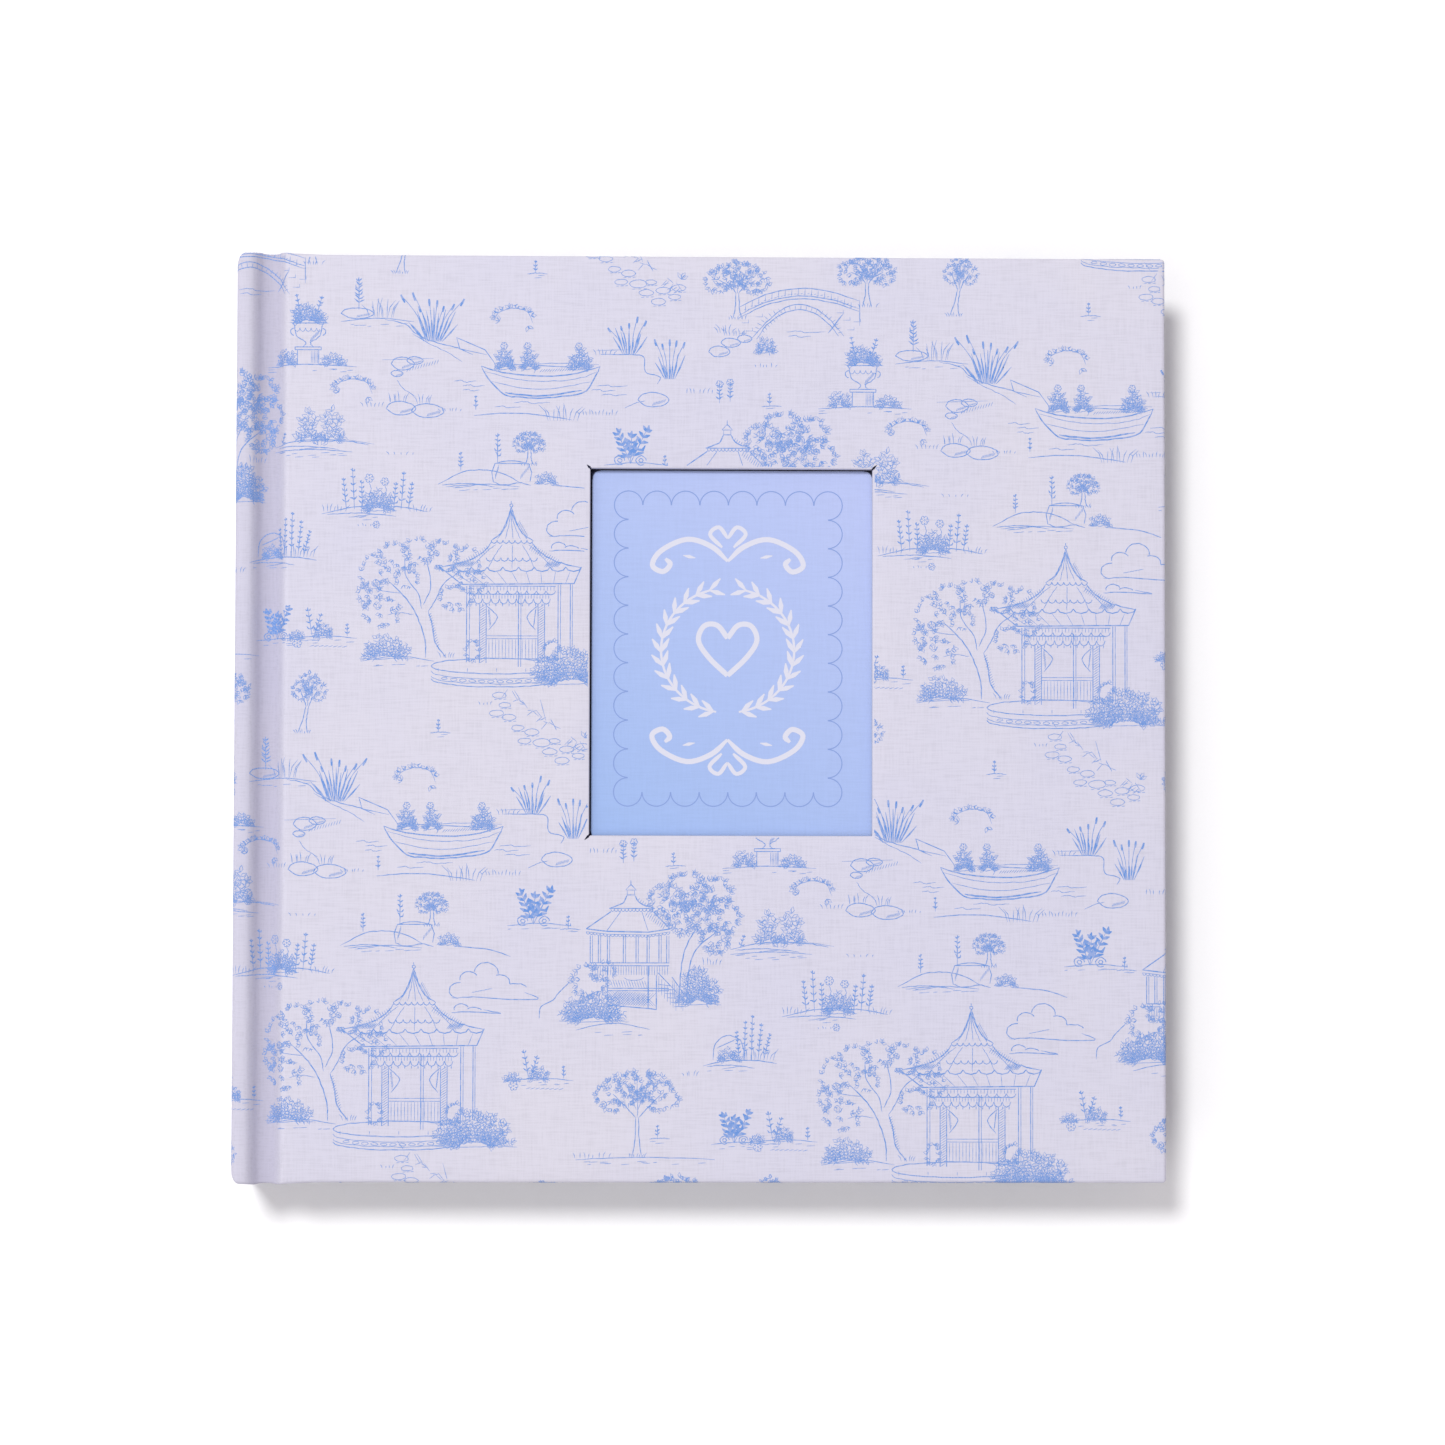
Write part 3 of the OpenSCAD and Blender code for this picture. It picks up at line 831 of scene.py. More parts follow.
def gazebo(pen):
    """A hexagonal summerhouse on a lattice base, with steps."""
    pen.line([(-0.7, 29.4), (-0.7, 30.8)])
    pen.line([(-2, 28.4), (-0.7, 29.8), (0.6, 28.4), (-2, 28.4)])
    pen.line([(-1.6, 28.4), (-1.6, 27.2), (0.2, 27.2), (0.2, 28.4)])
    for side, hem, eave in ((-1, -6, -11.6), (1, 5.2, 8.9)):
        middle = (-0.7 + 0.4 * (hem + 0.7), 25.2)
        pen.curve([(-0.7 + side * 0.9, 27.2), middle, (hem, 23.9)], LINE + 0.05)
        pen.line([(hem * 0.93, 23.1), (eave, 18.9)], LINE + 0.05, 0.9)
    pen.line([(-6, 23.9), (5.2, 23.9)], LINE, 0.9)
    pen.scallops((-5.6, 23.8), (4.8, 23.8), 12, 0.7, FINE)
    for top, foot in ((-3.2, -6.5), (2, 3.5)):
        pen.line([(top, 23.1), (foot, 18.5)], FINE, 0.9)
    pen.hatch((3.2, 22.6), (7.4, 19.4), 10, 1.4, 1.1)
    pen.hatch((1.2, 26), (3.8, 24.3), 6, 0.9, 1.1)
    eaves = [(-11.6, 18.9), (-6.5, 18.3), (3.5, 18.1), (8.9, 18.9)]
    pen.line(eaves, LINE + 0.08, 0.9)
    for (x0, y0), (x1, y1), count in zip(eaves, eaves[1:], (6, 11, 6)):
        pen.line([(x0, y0 - 0.7), (x1, y1 - 0.7)], FINE, 0.9)
        pen.scallops((x0, y0 - 0.7), (x1, y1 - 0.7), count, 0.6, FINE)
    for x in (-10.6, -8.6, -6.4, -2.5, 0.6, 3.3, 6.2, 8.1):
        pen.post(x, 17.3, 10.6)
        pen.line([(x + 0.55, 17.3), (x + 0.55, 10.6)], FINE, 0.9)
    for level in (10.6, 9.9, 4.4, 3.8):
        pen.line([(-10.6 if level > 5 else -6.4, level), (8.7, level)], LINE, 0.9)
    pen.hatch((-10, 8.7), (8.3, 8.7), 30, 2.2, 1.57)
    pen.line([(-6.4, 10), (-6.4, 0.4)], LINE, 0.9)
    pen.line([(3.6, 10), (3.6, -0.4)], LINE + 0.1, 0.9)
    pen.curve([(-2.4, 7), (-1, 6.4), (1.2, 6.4), (2.6, 7)], FINE)
    pen.hatch((-5.4, 5.6), (3, 5.4), 14, 1.8, 1.9)
    pen.line([(-6.2, 0.3), (4.4, -0.6), (5.6, -0.8), (5.6, 7.6)], LINE + 0.05, 0.9)
    for angle in (0.8, 2.34):
        pen.hatch((-5.4, 2.1), (3.9, 1.6), 16, 4.4, angle)
    for side in (0, 3.4):
        pen.line([(6 + side, 8.2 - 0.3 * side), (10.6 + side * 0.5, 3.4 - 0.1 * side)], LINE, 0.9)
        pen.hatch((6.2 + side, 5.4 - 0.3 * side), (10.4 + side * 0.5, 0.9), 7, 4, 1.57)
    for step in range(6):
        pen.line([(6 + 0.8 * step, 5.4 - 1.1 * step), (9 + 0.7 * step, 5.0 - 1.0 * step)], FINE, 0.9)
    pen.canopy(-10.8, 6.2, 4, 4, 1.0, 1.0)
    pen.canopy(-7.4, 8.4, 2.6, 2, 0.9, 0.9)
    pen.bush(-10, -3.6, 8.2, 7, 1.1, 1.1)
    pen.curve([(-23, -3), (-22.6, -0.2), (-19.6, 1.6), (-17.4, 4.2), (-15.4, 6)], LINE)
    pen.bush(16, 0.6, 5, 8.6, 1.0, 1.0)
    pen.curve([(11, 0), (11.6, 9), (13, 15), (16, 20)], LINE + 0.05)
    pen.curve([(13, 1), (13.6, 9), (15.4, 14), (20, 18)], LINE + 0.05)
    for x, y, rx, ry in ((8, 25.6, 4, 4), (13, 28.4, 5, 4.4), (19.2, 27.4, 4.6, 4), (22, 22, 3.8, 4.2),
                         (12, 21.6, 3.6, 3.6), (17, 22.4, 3.8, 3.8), (20, 16.2, 3.2, 3)):
        pen.canopy(x, y, rx, ry, 1.05, 1.35)
    pen.ground(-14, 4, -5.8, 1.6)


def bridge(pen):
    """A stone footbridge between two trees."""
    deck = np.array([(-14.6, -1.2), (-8, 2), (0, 3.6), (8, 2.8), (15, 0.6)])
    for lift in (0, 0.7, 2.6):
        pen.curve(deck + (0, lift))
    for place in np.linspace(-13, 13, 17):
        level = 3.6 - 0.021 * (place - 0.6) ** 2
        pen.line([(place, level + 0.8), (place + 0.1, level + 2.5)], FINE)
        pen.hatch((place, level + 1.2), (place + 0.9, level + 1.3), 2, 0.6, 0.2)
    for lift in (0, 1.3):
        pen.curve([(-10.2 - lift, -6.4), (-7, -2.2 + 0.6 * lift), (-2, 0.6 + lift), (3, 0.5 + lift),
                    (7.4, -2.4 + lift), (10 + lift, -5.6)])
    for turn in np.linspace(0.25, math.pi - 0.25, 22):
        foot = np.array([10.2 * math.cos(turn), -6.6 + 7.4 * math.sin(turn)])
        pen.line([foot, foot + (1.2 * math.cos(turn), 1.2 * math.sin(turn))], FINE)
    for x, y in (
        (-13, -2.4), (-12, -4.4), (-9.6, -0.9), (12, -1.6), (13, -4), (10.4, 0.2), (-13.6, -5), (14.6, -2),
    ):
        pen.line([(x - 0.9, y), (x + 0.8, y), (x + 0.8, y + 0.8)], FINE)
    pen.hatch((8, -4.2), (10.6, -0.6), 9, 1.9, 0.8)
    pen.hatch((-8.6, -4.4), (-4, 0.2), 8, 0.9, 2.2)
    pen.water(-7, 7, -4.6, 2)
    pen.line([(15.2, 3.4), (15.2, -3)], LINE)
    pen.tree(-15, -1.4, 14, 7.2, 5, 0.9, 1.0)
    pen.tree(17, 1.8, 12.6, 6.4, 4.6, 0.9, 1.0)
    pen.rock(-16.6, -7.4, 2.4, 1.2)
    pen.rock(-19.4, -9.6, 2.6, 1.4)
    pen.rock(-13.2, -6.4, 1.8, 1)
    pen.grass(-15.6, -5.6, 2.4, 2, 8)
    pen.canopy(-8, -8, 1.6, 1.4, 0.8)
    pen.bush(-8, -9.6, 2.6, 2.6, 0.8)
    pen.grass(-18, -5, 1.6, 2.4, 6)


def boat(pen):
    """A rowing boat laden with plants, and its ripples."""
    pen.curve([(-14.3, 0.4), (-9, -1.2), (0, -2), (8, -1.5), (14.9, 0.4)], LINE + 0.08)
    pen.curve([
        (-14.3, 0.4), (-12.6, -2.6), (-8.6, -6.6), (-4, -7.3),
        (2, -7.4), (10.6, -6.1), (13.4, -2.6), (14.9, 0.4),
    ], LINE + 0.1)
    pen.curve([(-8.4, -6.1), (-4, -6.7), (2, -6.8), (10.4, -5.5)], BOLD)
    pen.curve([(-13.4, -0.9), (-6, -2.8), (2, -3.3), (9, -2.7), (14.2, -0.9)], FINE)
    pen.curve([(-11.6, -3.4), (-5, -4.9), (3, -5.1), (12.6, -3.4)], FINE)
    pen.curve([(-11, 0.6), (-2, 0.9), (6, 1.2), (14.6, 0.9)], FINE)
    pen.line([(-1.4, -1.4), (-0.4, 0.6), (8, 0.2), (13.2, -0.3)], LINE)
    pen.hatch((0.4, -0.7), (12, -0.1), 20, 1.0, 0.8)
    pen.line([(-9.6, -0.8), (-13.4, 4.4), (-20.4, 7.4), (-19.6, 4.6), (-13, 3.2)], LINE)
    for x, rx in ((-8.4, 2.4), (-2.6, 2), (10, 2.6)):
        pen.bush(x, -0.2, rx, 5.6, 0.9, 1.2)
        pen.blossom(x - 0.3, 5.4, 0.9)
    pen.water(-23, -12, -3.4, 3)
    pen.water(10, 24, -4.4, 3)
    pen.water(-12, 6, -8.6, 2)
    pen.sprig(-15.6, -10.4, 3, 3, 0.8)


def pond(pen):
    """The shores, reeds and stones round the boat's water."""
    pen.curve([(-38, 10), (-33, 8.8), (-30, 6.2), (-25, 4.2), (-20, 3), (-16.4, 1.4)], LINE)
    pen.curve([(-31.4, 6.6), (-27, 4), (-22.4, 1.8), (-19, -0.4)], FINE)
    pen.curve([(15, 1.6), (22, 1.6), (25.6, 1.0), (26, -2.6), (29.6, -3.8), (29, -5.6)], LINE)
    pen.curve([(-16, -13.6), (-8, -13), (0, -13.4), (8, -14.6)], LINE)
    pen.curve([(21, -11.6), (23.6, -10.4), (26, -9.8)], FINE)
    pen.line([(-38.6, 0), (-26, 0.4)], FINE)
    pen.line([(14, 2.6), (22, 2.8)], FINE)
    pen.reeds(-26.2, 4.6, 12, 8, 5.6)
    pen.reeds(22, 1.6, 9.4, 5, 3.6)
    pen.reeds(32, -4.4, 9.4, 5, 3)
    for x, y, rx, ry in (
        (-33.6, -1, 2.8, 1.7), (-35, -3.4, 1.5, 0.8), (-34, -12, 3.6, 1.8), (-27.4, -12.6, 4, 1.8),
        (28, -9.6, 3.8, 1.9), (-30.6, -0.2, 2, 1),
    ):
        pen.rock(x, y, rx, ry)
    pen.hatch((-32.4, -2.4), (-25, -0.4), 12, 1.1, 1.2)
    pen.grass(-35, -10.4, 2, 3, 7)
    pen.grass(-28.4, -10.8, 1.6, 2.6, 6)
    pen.grass(5.6, -14.8, 3.6, 4.4, 10)
    pen.grass(14.4, -13.4, 4.4, 1.5, 12)
    pen.grass(-22, -12.6, 2.6, 1, 7)
    pen.grass(16, 1.4, 2, 1.6, 6)
    pen.curve([(-35, -5), (-33.4, -7), (-30.4, -9)], FINE)


def stump(pen):
    """A stump between saplings on a mound."""
    pen.line([(-4.4, 0), (-4.8, 2.4), (-4, 4.6), (4.2, 4.6), (5, 2.4), (4.6, 0.2)], LINE, 0.8)
    pen.curve([(-4, 4.6), (0, 5.3), (4.2, 4.6)])
    pen.curve([(-4.4, 0), (-2, -0.7), (2, -0.2), (4.8, -0.8)])
    pen.hatch((-3.9, 1.4), (-3.2, 3.6), 5, 1.2, 1.57)
    pen.hatch((2.4, 1.4), (4.2, 3.6), 6, 1.2, 1.4)
    pen.sprig(-3.4, 4.8, 6.4, 5, 1.2)
    pen.tree(4.4, 4.2, 8, 3.4, 3, 0.7, 0.8)
    pen.sprig(-12.4, 2.8, 4, 4, 0.9)
    pen.bush(8.6, -0.2, 2.6, 2.8, 0.8)
    pen.mound(-8, 0, 10, 3)
    pen.ground(-16, 2, -1.2)
    pen.curve([(10, -0.8), (18, -1.4), (23.6, -3.2)], LINE)


def twin_bushes(pen):
    """Two shrubs side by side on a mound."""
    for x in (-2.8, 3):
        pen.bush(x, 0.4, 2.5, 7.6, 1.3, 0.9)
    pen.mound(0, -0.6, 12, 1.2)
    pen.sprig(-9.6, -0.8, 2.6, 3, 0.9, 0.8)
    pen.ground(-12, 8, -2.4)
    pen.line([(7, 0.6), (13.4, -0.4)], FINE)


def meadow(pen):
    """Tall grass and shrubs on a rise."""
    pen.mound(0, -4, 13, 1.4)
    for x, height in ((-7, 7), (-5, 9.4), (-3, 6.4), (4.6, 6), (6.4, 8.6), (8.2, 6)):
        pen.sprig(x, -3.4, height, 5, 1.1, 0.1 * x)
    pen.bush(0.6, -3.6, 4.4, 5.4, 1.0, 1.0)
    pen.blossom(-1.4, 4.2, 1.1, 3)
    pen.blossom(2.4, 3.4, 1.0, 2.6)
    pen.grass(-10, -4, 2.4, 2, 7)
    pen.grass(11, -4, 2.4, 2, 7)
    pen.blossom(0.4, -7.2, 0.9)
    pen.grass(-2, -7.6, 2, 0.8, 5)


def urn(pen):
    """A planted garden urn on a plinth."""
    pen.line([(-2.6, 0), (-2.6, 3.6), (2.6, 3.6), (2.6, 0), (-2.6, 0)], LINE, 0.9)
    pen.line([(-3.2, 3.6), (-3.2, 4.3), (3.2, 4.3), (3.2, 3.6), (-3.2, 3.6)], LINE, 0.9)
    for side in (-1, 1):
        pen.curve([(side * x, y) for x, y in ((1.2, 4.4), (0.6, 5.4), (2.8, 7), (3.4, 9.6), (4, 10.2))])
        pen.ring(side * 3.5, 8, 0.8, 0.9, -90 if side > 0 else 90, 90 if side > 0 else 270)
    pen.line([(-4, 10.2), (4, 10.2)], LINE, 0.9)
    pen.scallops((-3.4, 9), (3.4, 9), 5, 0.9, FINE)
    pen.hatch((0.6, 6), (2.6, 8), 7, 1.4, 1.3)
    pen.hatch((0.8, 1.8), (2.3, 1.8), 5, 3, 1.57)
    pen.bush(0, 10.4, 4.6, 4.6, 1.0, 1.2)
    pen.sprig(-1.8, 12, 4.6, 4, 1.1, -1)
    pen.sprig(2, 12, 4.2, 4, 1.1, 1.2)
    pen.bush(-5.6, 0, 2.6, 4, 0.9)
    pen.bush(6.2, 0, 3, 3, 0.9)
    pen.ground(-11, 12, -0.6)


def rushes(pen):
    """Wheat beside a rounded boulder."""
    pen.curve([(-6, 0), (-5.4, 4), (-2.6, 6), (0.6, 4.8), (1.8, 1)])
    pen.hatch((-4.6, 3.2), (-1, 4.8), 8, 1.1, 0.6)
    pen.bush(-2.2, 0, 3, 3, 0.8, 0.9)
    ears = ((1.6, 9, 0.3), (3.4, 10.4, 0.2), (5, 8.4, 0.8), (6.4, 6, 1.4), (0.4, 6.6, -0.6))
    for x, height, lean in ears:
        pen.sprig(x, 0, height, 6, 0.9, lean)
    pen.grass(4, 0, 4.6, 3.6, 13)
    pen.mound(0.6, -0.8, 9, 0.8)


def twig(pen):
    """A loose arch of leaves."""
    for turn in np.linspace(0.3, 2.9, 8):
        x, y = 4.6 * math.cos(turn), 2.6 * math.sin(turn)
        pen.cluster(x, y, turn, 1.0, 3, 0.4)
    pen.curve([(-4.8, -0.6), (-3.4, 1.6), (0, 2.6), (3.4, 1.8), (4.8, -1)], FINE)
    pen.cluster(-3.4, -0.6, 2.6, 1.1, 4)
    pen.cluster(3.6, -1.8, 5.4, 1.1, 4)


def small_plants(pen):
    """A dark sprout with low plants to its right."""
    pen.sprig(0, 0, 6, 4, 1.2, -1.0)
    pen.sprig(0.6, 0, 4.6, 4, 1.2, 1.4)
    pen.bush(2.6, -0.4, 2.2, 2.6, 0.9, 1.2)
    pen.bush(-4, -0.8, 1.9, 1.8, 0.8)
    pen.sprig(8.6, -0.2, 2.6, 3, 0.8)
    pen.blossom(-3.6, -2, 1.1)
    pen.ground(-5.6, 11, -0.8)
    pen.hatch((0, -2.6), (8, -2.8), 8, 1.2, 0.3)


def cloud(pen):
    """Two clouds, the large one of five arcs on a flat base."""
    for arc in (
        (-8.6, -0.2, 2.4, 1.9, 80, 265), (-6.2, 2.6, 2.2, 1.8, 30, 190), (-2, 4.2, 2.9, 2.4, -10, 175),
        (1.4, 1.8, 2.4, 1.8, -10, 110), (5.2, 0.2, 2.8, 1.3, 20, 120),
    ):
        pen.ring(*arc)
    pen.curve([(-10.4, -2), (-4, -1.8), (2, -2.3), (10.6, -2.2), (7.4, -0.6)])
    pen.hatch((-5, -0.6), (-1, 0.2), 6, 1.0, 0.1)
    pen.ring(-8, -4.6, 1.8, 1.1, 20, 200)
    pen.ring(-5, -5.2, 2, 0.9, 20, 140)
    pen.curve([(-10.4, -5.6), (-6, -5.4), (1.6, -5.8), (-2.6, -4.9)])


def stepping_stones(pen):
    """A path of flat stones that winds away from the pavilion."""
    for x, y in (
        (0, 0), (1.4, -2.4), (-0.6, -4.4), (2.4, -5.4), (4.6, -8), (8, -9), (6.2, -11.2), (10.4, -11.6),
        (13.6, -11.2), (12.4, -13.8), (16.6, -13.2), (19.4, -14.8), (15.4, -16), (20.4, -12.6),
    ):
        rx = pen.random.uniform(1.4, 2.2)
        pen.ring(x, y, rx, 0.45 * rx, width=FINE)
        pen.hatch((x - 0.5 * rx, y - 0.6 * rx), (x + 0.8 * rx, y - 0.55 * rx), 3, 0.8, 0.1)
    for _ in range(34):
        x = pen.random.uniform(-4, 20)
        left = 1.6 - 0.75 * x + pen.random.normal(0, 1.4)
        right = 1.5 - 0.75 * x + pen.random.normal(0, 0.4)
        pen.line([(x, left), (x + 1.4, right)], FINE, 0.5)
    pen.cluster(21, -10.4, 1.2, 1.4, 5)
    pen.grass(-3.4, -2.4, 1.2, 1.0, 4)


def draw_repeat():
    """All the strokes of one repeat."""
    pen = Pen(seed=11)
    places = (
        (pavilion, 64.9, 125.4), (forked_tree, 48.4, 128.2), (gazebo, 98, 43),
        (bridge, 138, 213.4), (boat, 74.4, 199.6), (pond, 74.4, 201.4),
        (stump, 67.6, 171.4), (twin_bushes, 20.6, 181), (meadow, 34.2, 168),
        (urn, 154, 190.4), (rushes, 10.4, 152.8), (twig, 28.6, 194),
        (small_plants, 72.4, 25.6), (small_plants, 19, 133.6), (cloud, 64, 47),
        (stepping_stones, 64.9, 119), (twig, 44.6, 98.6),
    )
    for motif, x, y in places:
        pen.origin = np.array([x, y])
        motif(pen)
    pen.origin = np.zeros(2)
    pen.tree(99, 6.4, 21, 9.6, 6.4, 0.95)
    pen.tree(176.5, 213, 14.4, 3.6, 4.2, 0.8, 0.8, 1.2)
    pen.dark_plant(9.6, 132.6, 7)
    pen.dark_plant(73.5, 63, 8)
    pen.rock(166, 203, 4, 1.4)
    pen.sprig(166.4, 204, 7, 7, 1.5)
    for tuft in (
        (172, 202, 2.8, 5.6, 11), (90.4, 80.4, 3, 1.6, 7), (4, 176, 2, 2, 6), (88, 6, 4, 1.6, 8),
        (112, 26, 1.4, 1.6, 5), (40.6, 178, 3, 0.9, 5), (130, 200, 2.4, 1.2, 6), (170, 180, 2.2, 1.6, 6),
    ):
        pen.grass(*tuft)
    for x, y, height in ((95.4, 78, 4), (98, 78.4, 4)):
        pen.sprig(x, y, height, 4, 1.1)
        pen.blossom(x, y + height + 0.7, 0.9)
    for x, y in ((104, 11), (82, 62), (131, 190.6), (50, 110)):
        pen.sprig(x, y, 2.6, 3, 0.8)
        pen.ground(x - 2, x + 3, y - 0.3, 0.2)
    pen.ground(84, 118, 5.6, 0.6)
    pen.ground(162, 180, 201, 0.8)
    return pen.strokes


# ---- Print laid on the cloth ----
INK_LIFT, INK_DEPTH = 0.02 * MM, 0.03 * MM
LIFT_SPREAD = 0.8                    # from a stroke's lowest point to its highest, as a share of INK_LIFT
# keeps a piece under the faces that the STL export keeps whole
SEGMENTS_PER_PIECE = 27_000          # most segments in one piece of the print
CLOSE_STEP, WIDE_STEP = 0.3 * MM, 1.5 * MM
BENT_WIDTH = 15 * MM                 # of the spine's edge and the groove, along the cloth
NEAR_EDGE = 1 * MM                   # this close to an edge, strokes have close points
OVERSHOOT = 10 * MM                  # the print is worked out this far past the flat of the cloth
REPEATS_ACROSS, REPEATS_DOWN = range(-3, 4), range(-4, 4)
GOLDEN = 0.618                       # steps of this share spread evenly, in an order that looks random
CLIP = 0.15 * MM                     # the print stops this far short of the cloth's own ends

RUNS = np.concatenate([[0], np.cumsum(np.linalg.norm(np.diff(OUTER, axis=0), axis=1))])
# Distances along the cloth. On the board they equal the distance from the outside of the spine.
ALONG = RUNS - RUNS[-1] + (EDGE_X - SPINE_X)


def fold_parts(thickness):
    """Radius, quarter turn and straight wall of the fold round a sheet of that thickness."""
    r = np.minimum(EDGE_R, thickness / 2)
    return r, r * math.pi / 2, thickness - 2 * r


def fold_place(run, thickness):
    """How far out and down the cloth is after a run past the start of a fold."""
    r, quarter, wall = fold_parts(thickness)
    first = np.clip(run, 0, quarter) / r
    second = np.clip(run - quarter - wall, 0, quarter) / r
    down = r * (1 - np.cos(first)) + np.clip(run - quarter, 0, wall) + r * np.sin(second)
    out = r * np.sin(first) - r * (1 - np.cos(second)) - np.clip(run - 2 * quarter - wall, 0, TURN_IN)
    return out, down


def cloth_through(s):
    """The outer point of the cloth at s, and the way to its inner point."""
    outer = np.stack([np.interp(s, ALONG, OUTER[:, k]) for k in (0, 1)], axis=-1)
    inner = np.stack([np.interp(s, ALONG, INNER[:, k]) for k in (0, 1)], axis=-1)
    return outer, inner - outer


def cloth_point(s, t):
    """Points of the front half of the cloth, s along it and t up it."""
    outer, through = cloth_through(s)
    thickness = np.linalg.norm(through, axis=-1)
    end = fold_y(outer[:, 0])
    out_y, down_y = fold_place(np.abs(t) - end, thickness)
    out_x, down_x = fold_place(s - ALONG[-1], thickness)
    base = outer + through / thickness[:, None] * np.maximum(down_x, down_y)[:, None]
    x = base[:, 0] + np.where(s > ALONG[-1], out_x, 0)
    y = np.where(np.abs(t) > end, np.sign(t) * (fold_y(base[:, 0]) + out_y), t)
    return np.stack([x, y, base[:, 1]], axis=-1)


def raised(surface, s, t, lift):
    """Points of a surface, moved along its normal."""
    small = 0.05 * MM
    across = surface(s + small, t) - surface(s - small, t)
    up = surface(s, t + small) - surface(s, t - small)
    normal = np.cross(across, up)
    length = np.linalg.norm(normal, axis=1, keepdims=True)
    return surface(s, t) + normal / np.maximum(length, 1e-12) * lift


def segments_of(strokes):
    """The (x, y, width) at both ends of each segment, and whether it carries on from the one before."""
    starts, ends, joined = [], [], []
    for points, widths in strokes:
        rows = np.column_stack([points, widths])
        starts.append(rows[:-1])
        ends.append(rows[1:])
        joined.append(np.arange(len(rows) - 1) > 0)
    return np.vstack(starts), np.vstack(ends), np.concatenate(joined)


def divide(starts, ends, joined, counts):
    """Cuts each segment into equal parts."""
    owner = np.repeat(np.arange(len(counts)), counts)
    part = np.arange(len(owner)) - np.repeat(np.cumsum(counts) - counts, counts)
    low, high = (part / counts[owner])[:, None], ((part + 1) / counts[owner])[:, None]
    way = ends[owner] - starts[owner]
    return starts[owner] + way * low, starts[owner] + way * high, joined[owner] | (part > 0)


def keep_only(starts, ends, joined, kept):
    """Drops the other segments, and ends their strokes there."""
    return starts[kept], ends[kept], (joined & np.roll(kept, 1))[kept]


def on_cloth(s, t, front):
    """Where the cloth is there to print on."""
    outer, through = cloth_through(s)
    _, quarter, wall = fold_parts(np.linalg.norm(through, axis=1))
    past_x, past_y = s - ALONG[-1], np.abs(t) - fold_y(outer[:, 0])
    turn_x = np.minimum(TURN_IN, -past_y) - CLIP
    turn_y = np.minimum(TURN_IN, -past_x) - CLIP
    kept = (s > ALONG[0] - 1e-9) & ((past_x < 0) | (past_y < 0))
    kept &= (past_x < 2 * quarter + wall + turn_x) & (past_y < 2 * quarter + wall + turn_y)
    if front:
        x, edge = s + SPINE_X, REVEAL_R + CLIP / 2
        in_window = (x > WINDOW_LOW[0] - edge) & (x < WINDOW_HIGH[0] + edge)
        in_window &= (t > WINDOW_LOW[1] - edge) & (t < WINDOW_HIGH[1] + edge)
        in_slot = (x > SLOT_LOW - CLIP) & (x < SLOT_HIGH + CLIP) & (t > 0)
        in_slot &= (past_y > quarter + wall - CLIP) & (past_y < 2 * quarter + wall + CLIP)
        kept &= ~in_window & ~in_slot
    return kept


def near_bend(s, t):
    """Where strokes need closely spaced points: round the edges, the groove and the window."""
    near = (s < BENT_WIDTH) | (s > ALONG[-1] - NEAR_EDGE) | (np.abs(t) > EDGE_Y - NEAR_EDGE)
    for corner in (WINDOW_LOW, WINDOW_HIGH):
        near |= np.abs(s + SPINE_X - corner[0]) < NEAR_EDGE
        near |= np.abs(t - corner[1]) < NEAR_EDGE
    return near


def printed_segments(strokes, front):
    """All the repeats of the strokes that fall on one half of the cloth, in metres along and up it."""
    starts, ends, joined = segments_of(strokes)
    found = []
    for across in REPEATS_ACROSS:
        for down in REPEATS_DOWN:
            shift = np.append(across * REPEAT_ACROSS + down * REPEAT_DOWN, 0)
            both = []
            for rows in (starts, ends):
                rows = (rows + shift) * MM
                rows[:, 1] -= HEAD_Y
                if not front:
                    rows[:, 0] = 2 * ALONG[0] - rows[:, 0]
                both.append(rows)
            near = np.abs(both[0][:, 1]) < HEAD_Y + OVERSHOOT
            near &= (both[0][:, 0] > ALONG[0] - NEAR_EDGE) & (both[0][:, 0] < ALONG[-1] + OVERSHOOT)
            if near.any():
                found.append(keep_only(*both, joined, near))
    starts, ends, joined = (np.concatenate(column) for column in zip(*found))
    length = np.linalg.norm((ends - starts)[:, :2], axis=1)
    step = np.where(near_bend(starts[:, 0], starts[:, 1]), CLOSE_STEP, WIDE_STEP)
    starts, ends, joined = divide(starts, ends, joined, np.maximum(1, np.ceil(length / step)).astype(int))
    kept = on_cloth(starts[:, 0], starts[:, 1], front) & on_cloth(ends[:, 0], ends[:, 1], front)
    return keep_only(starts, ends, joined, kept)


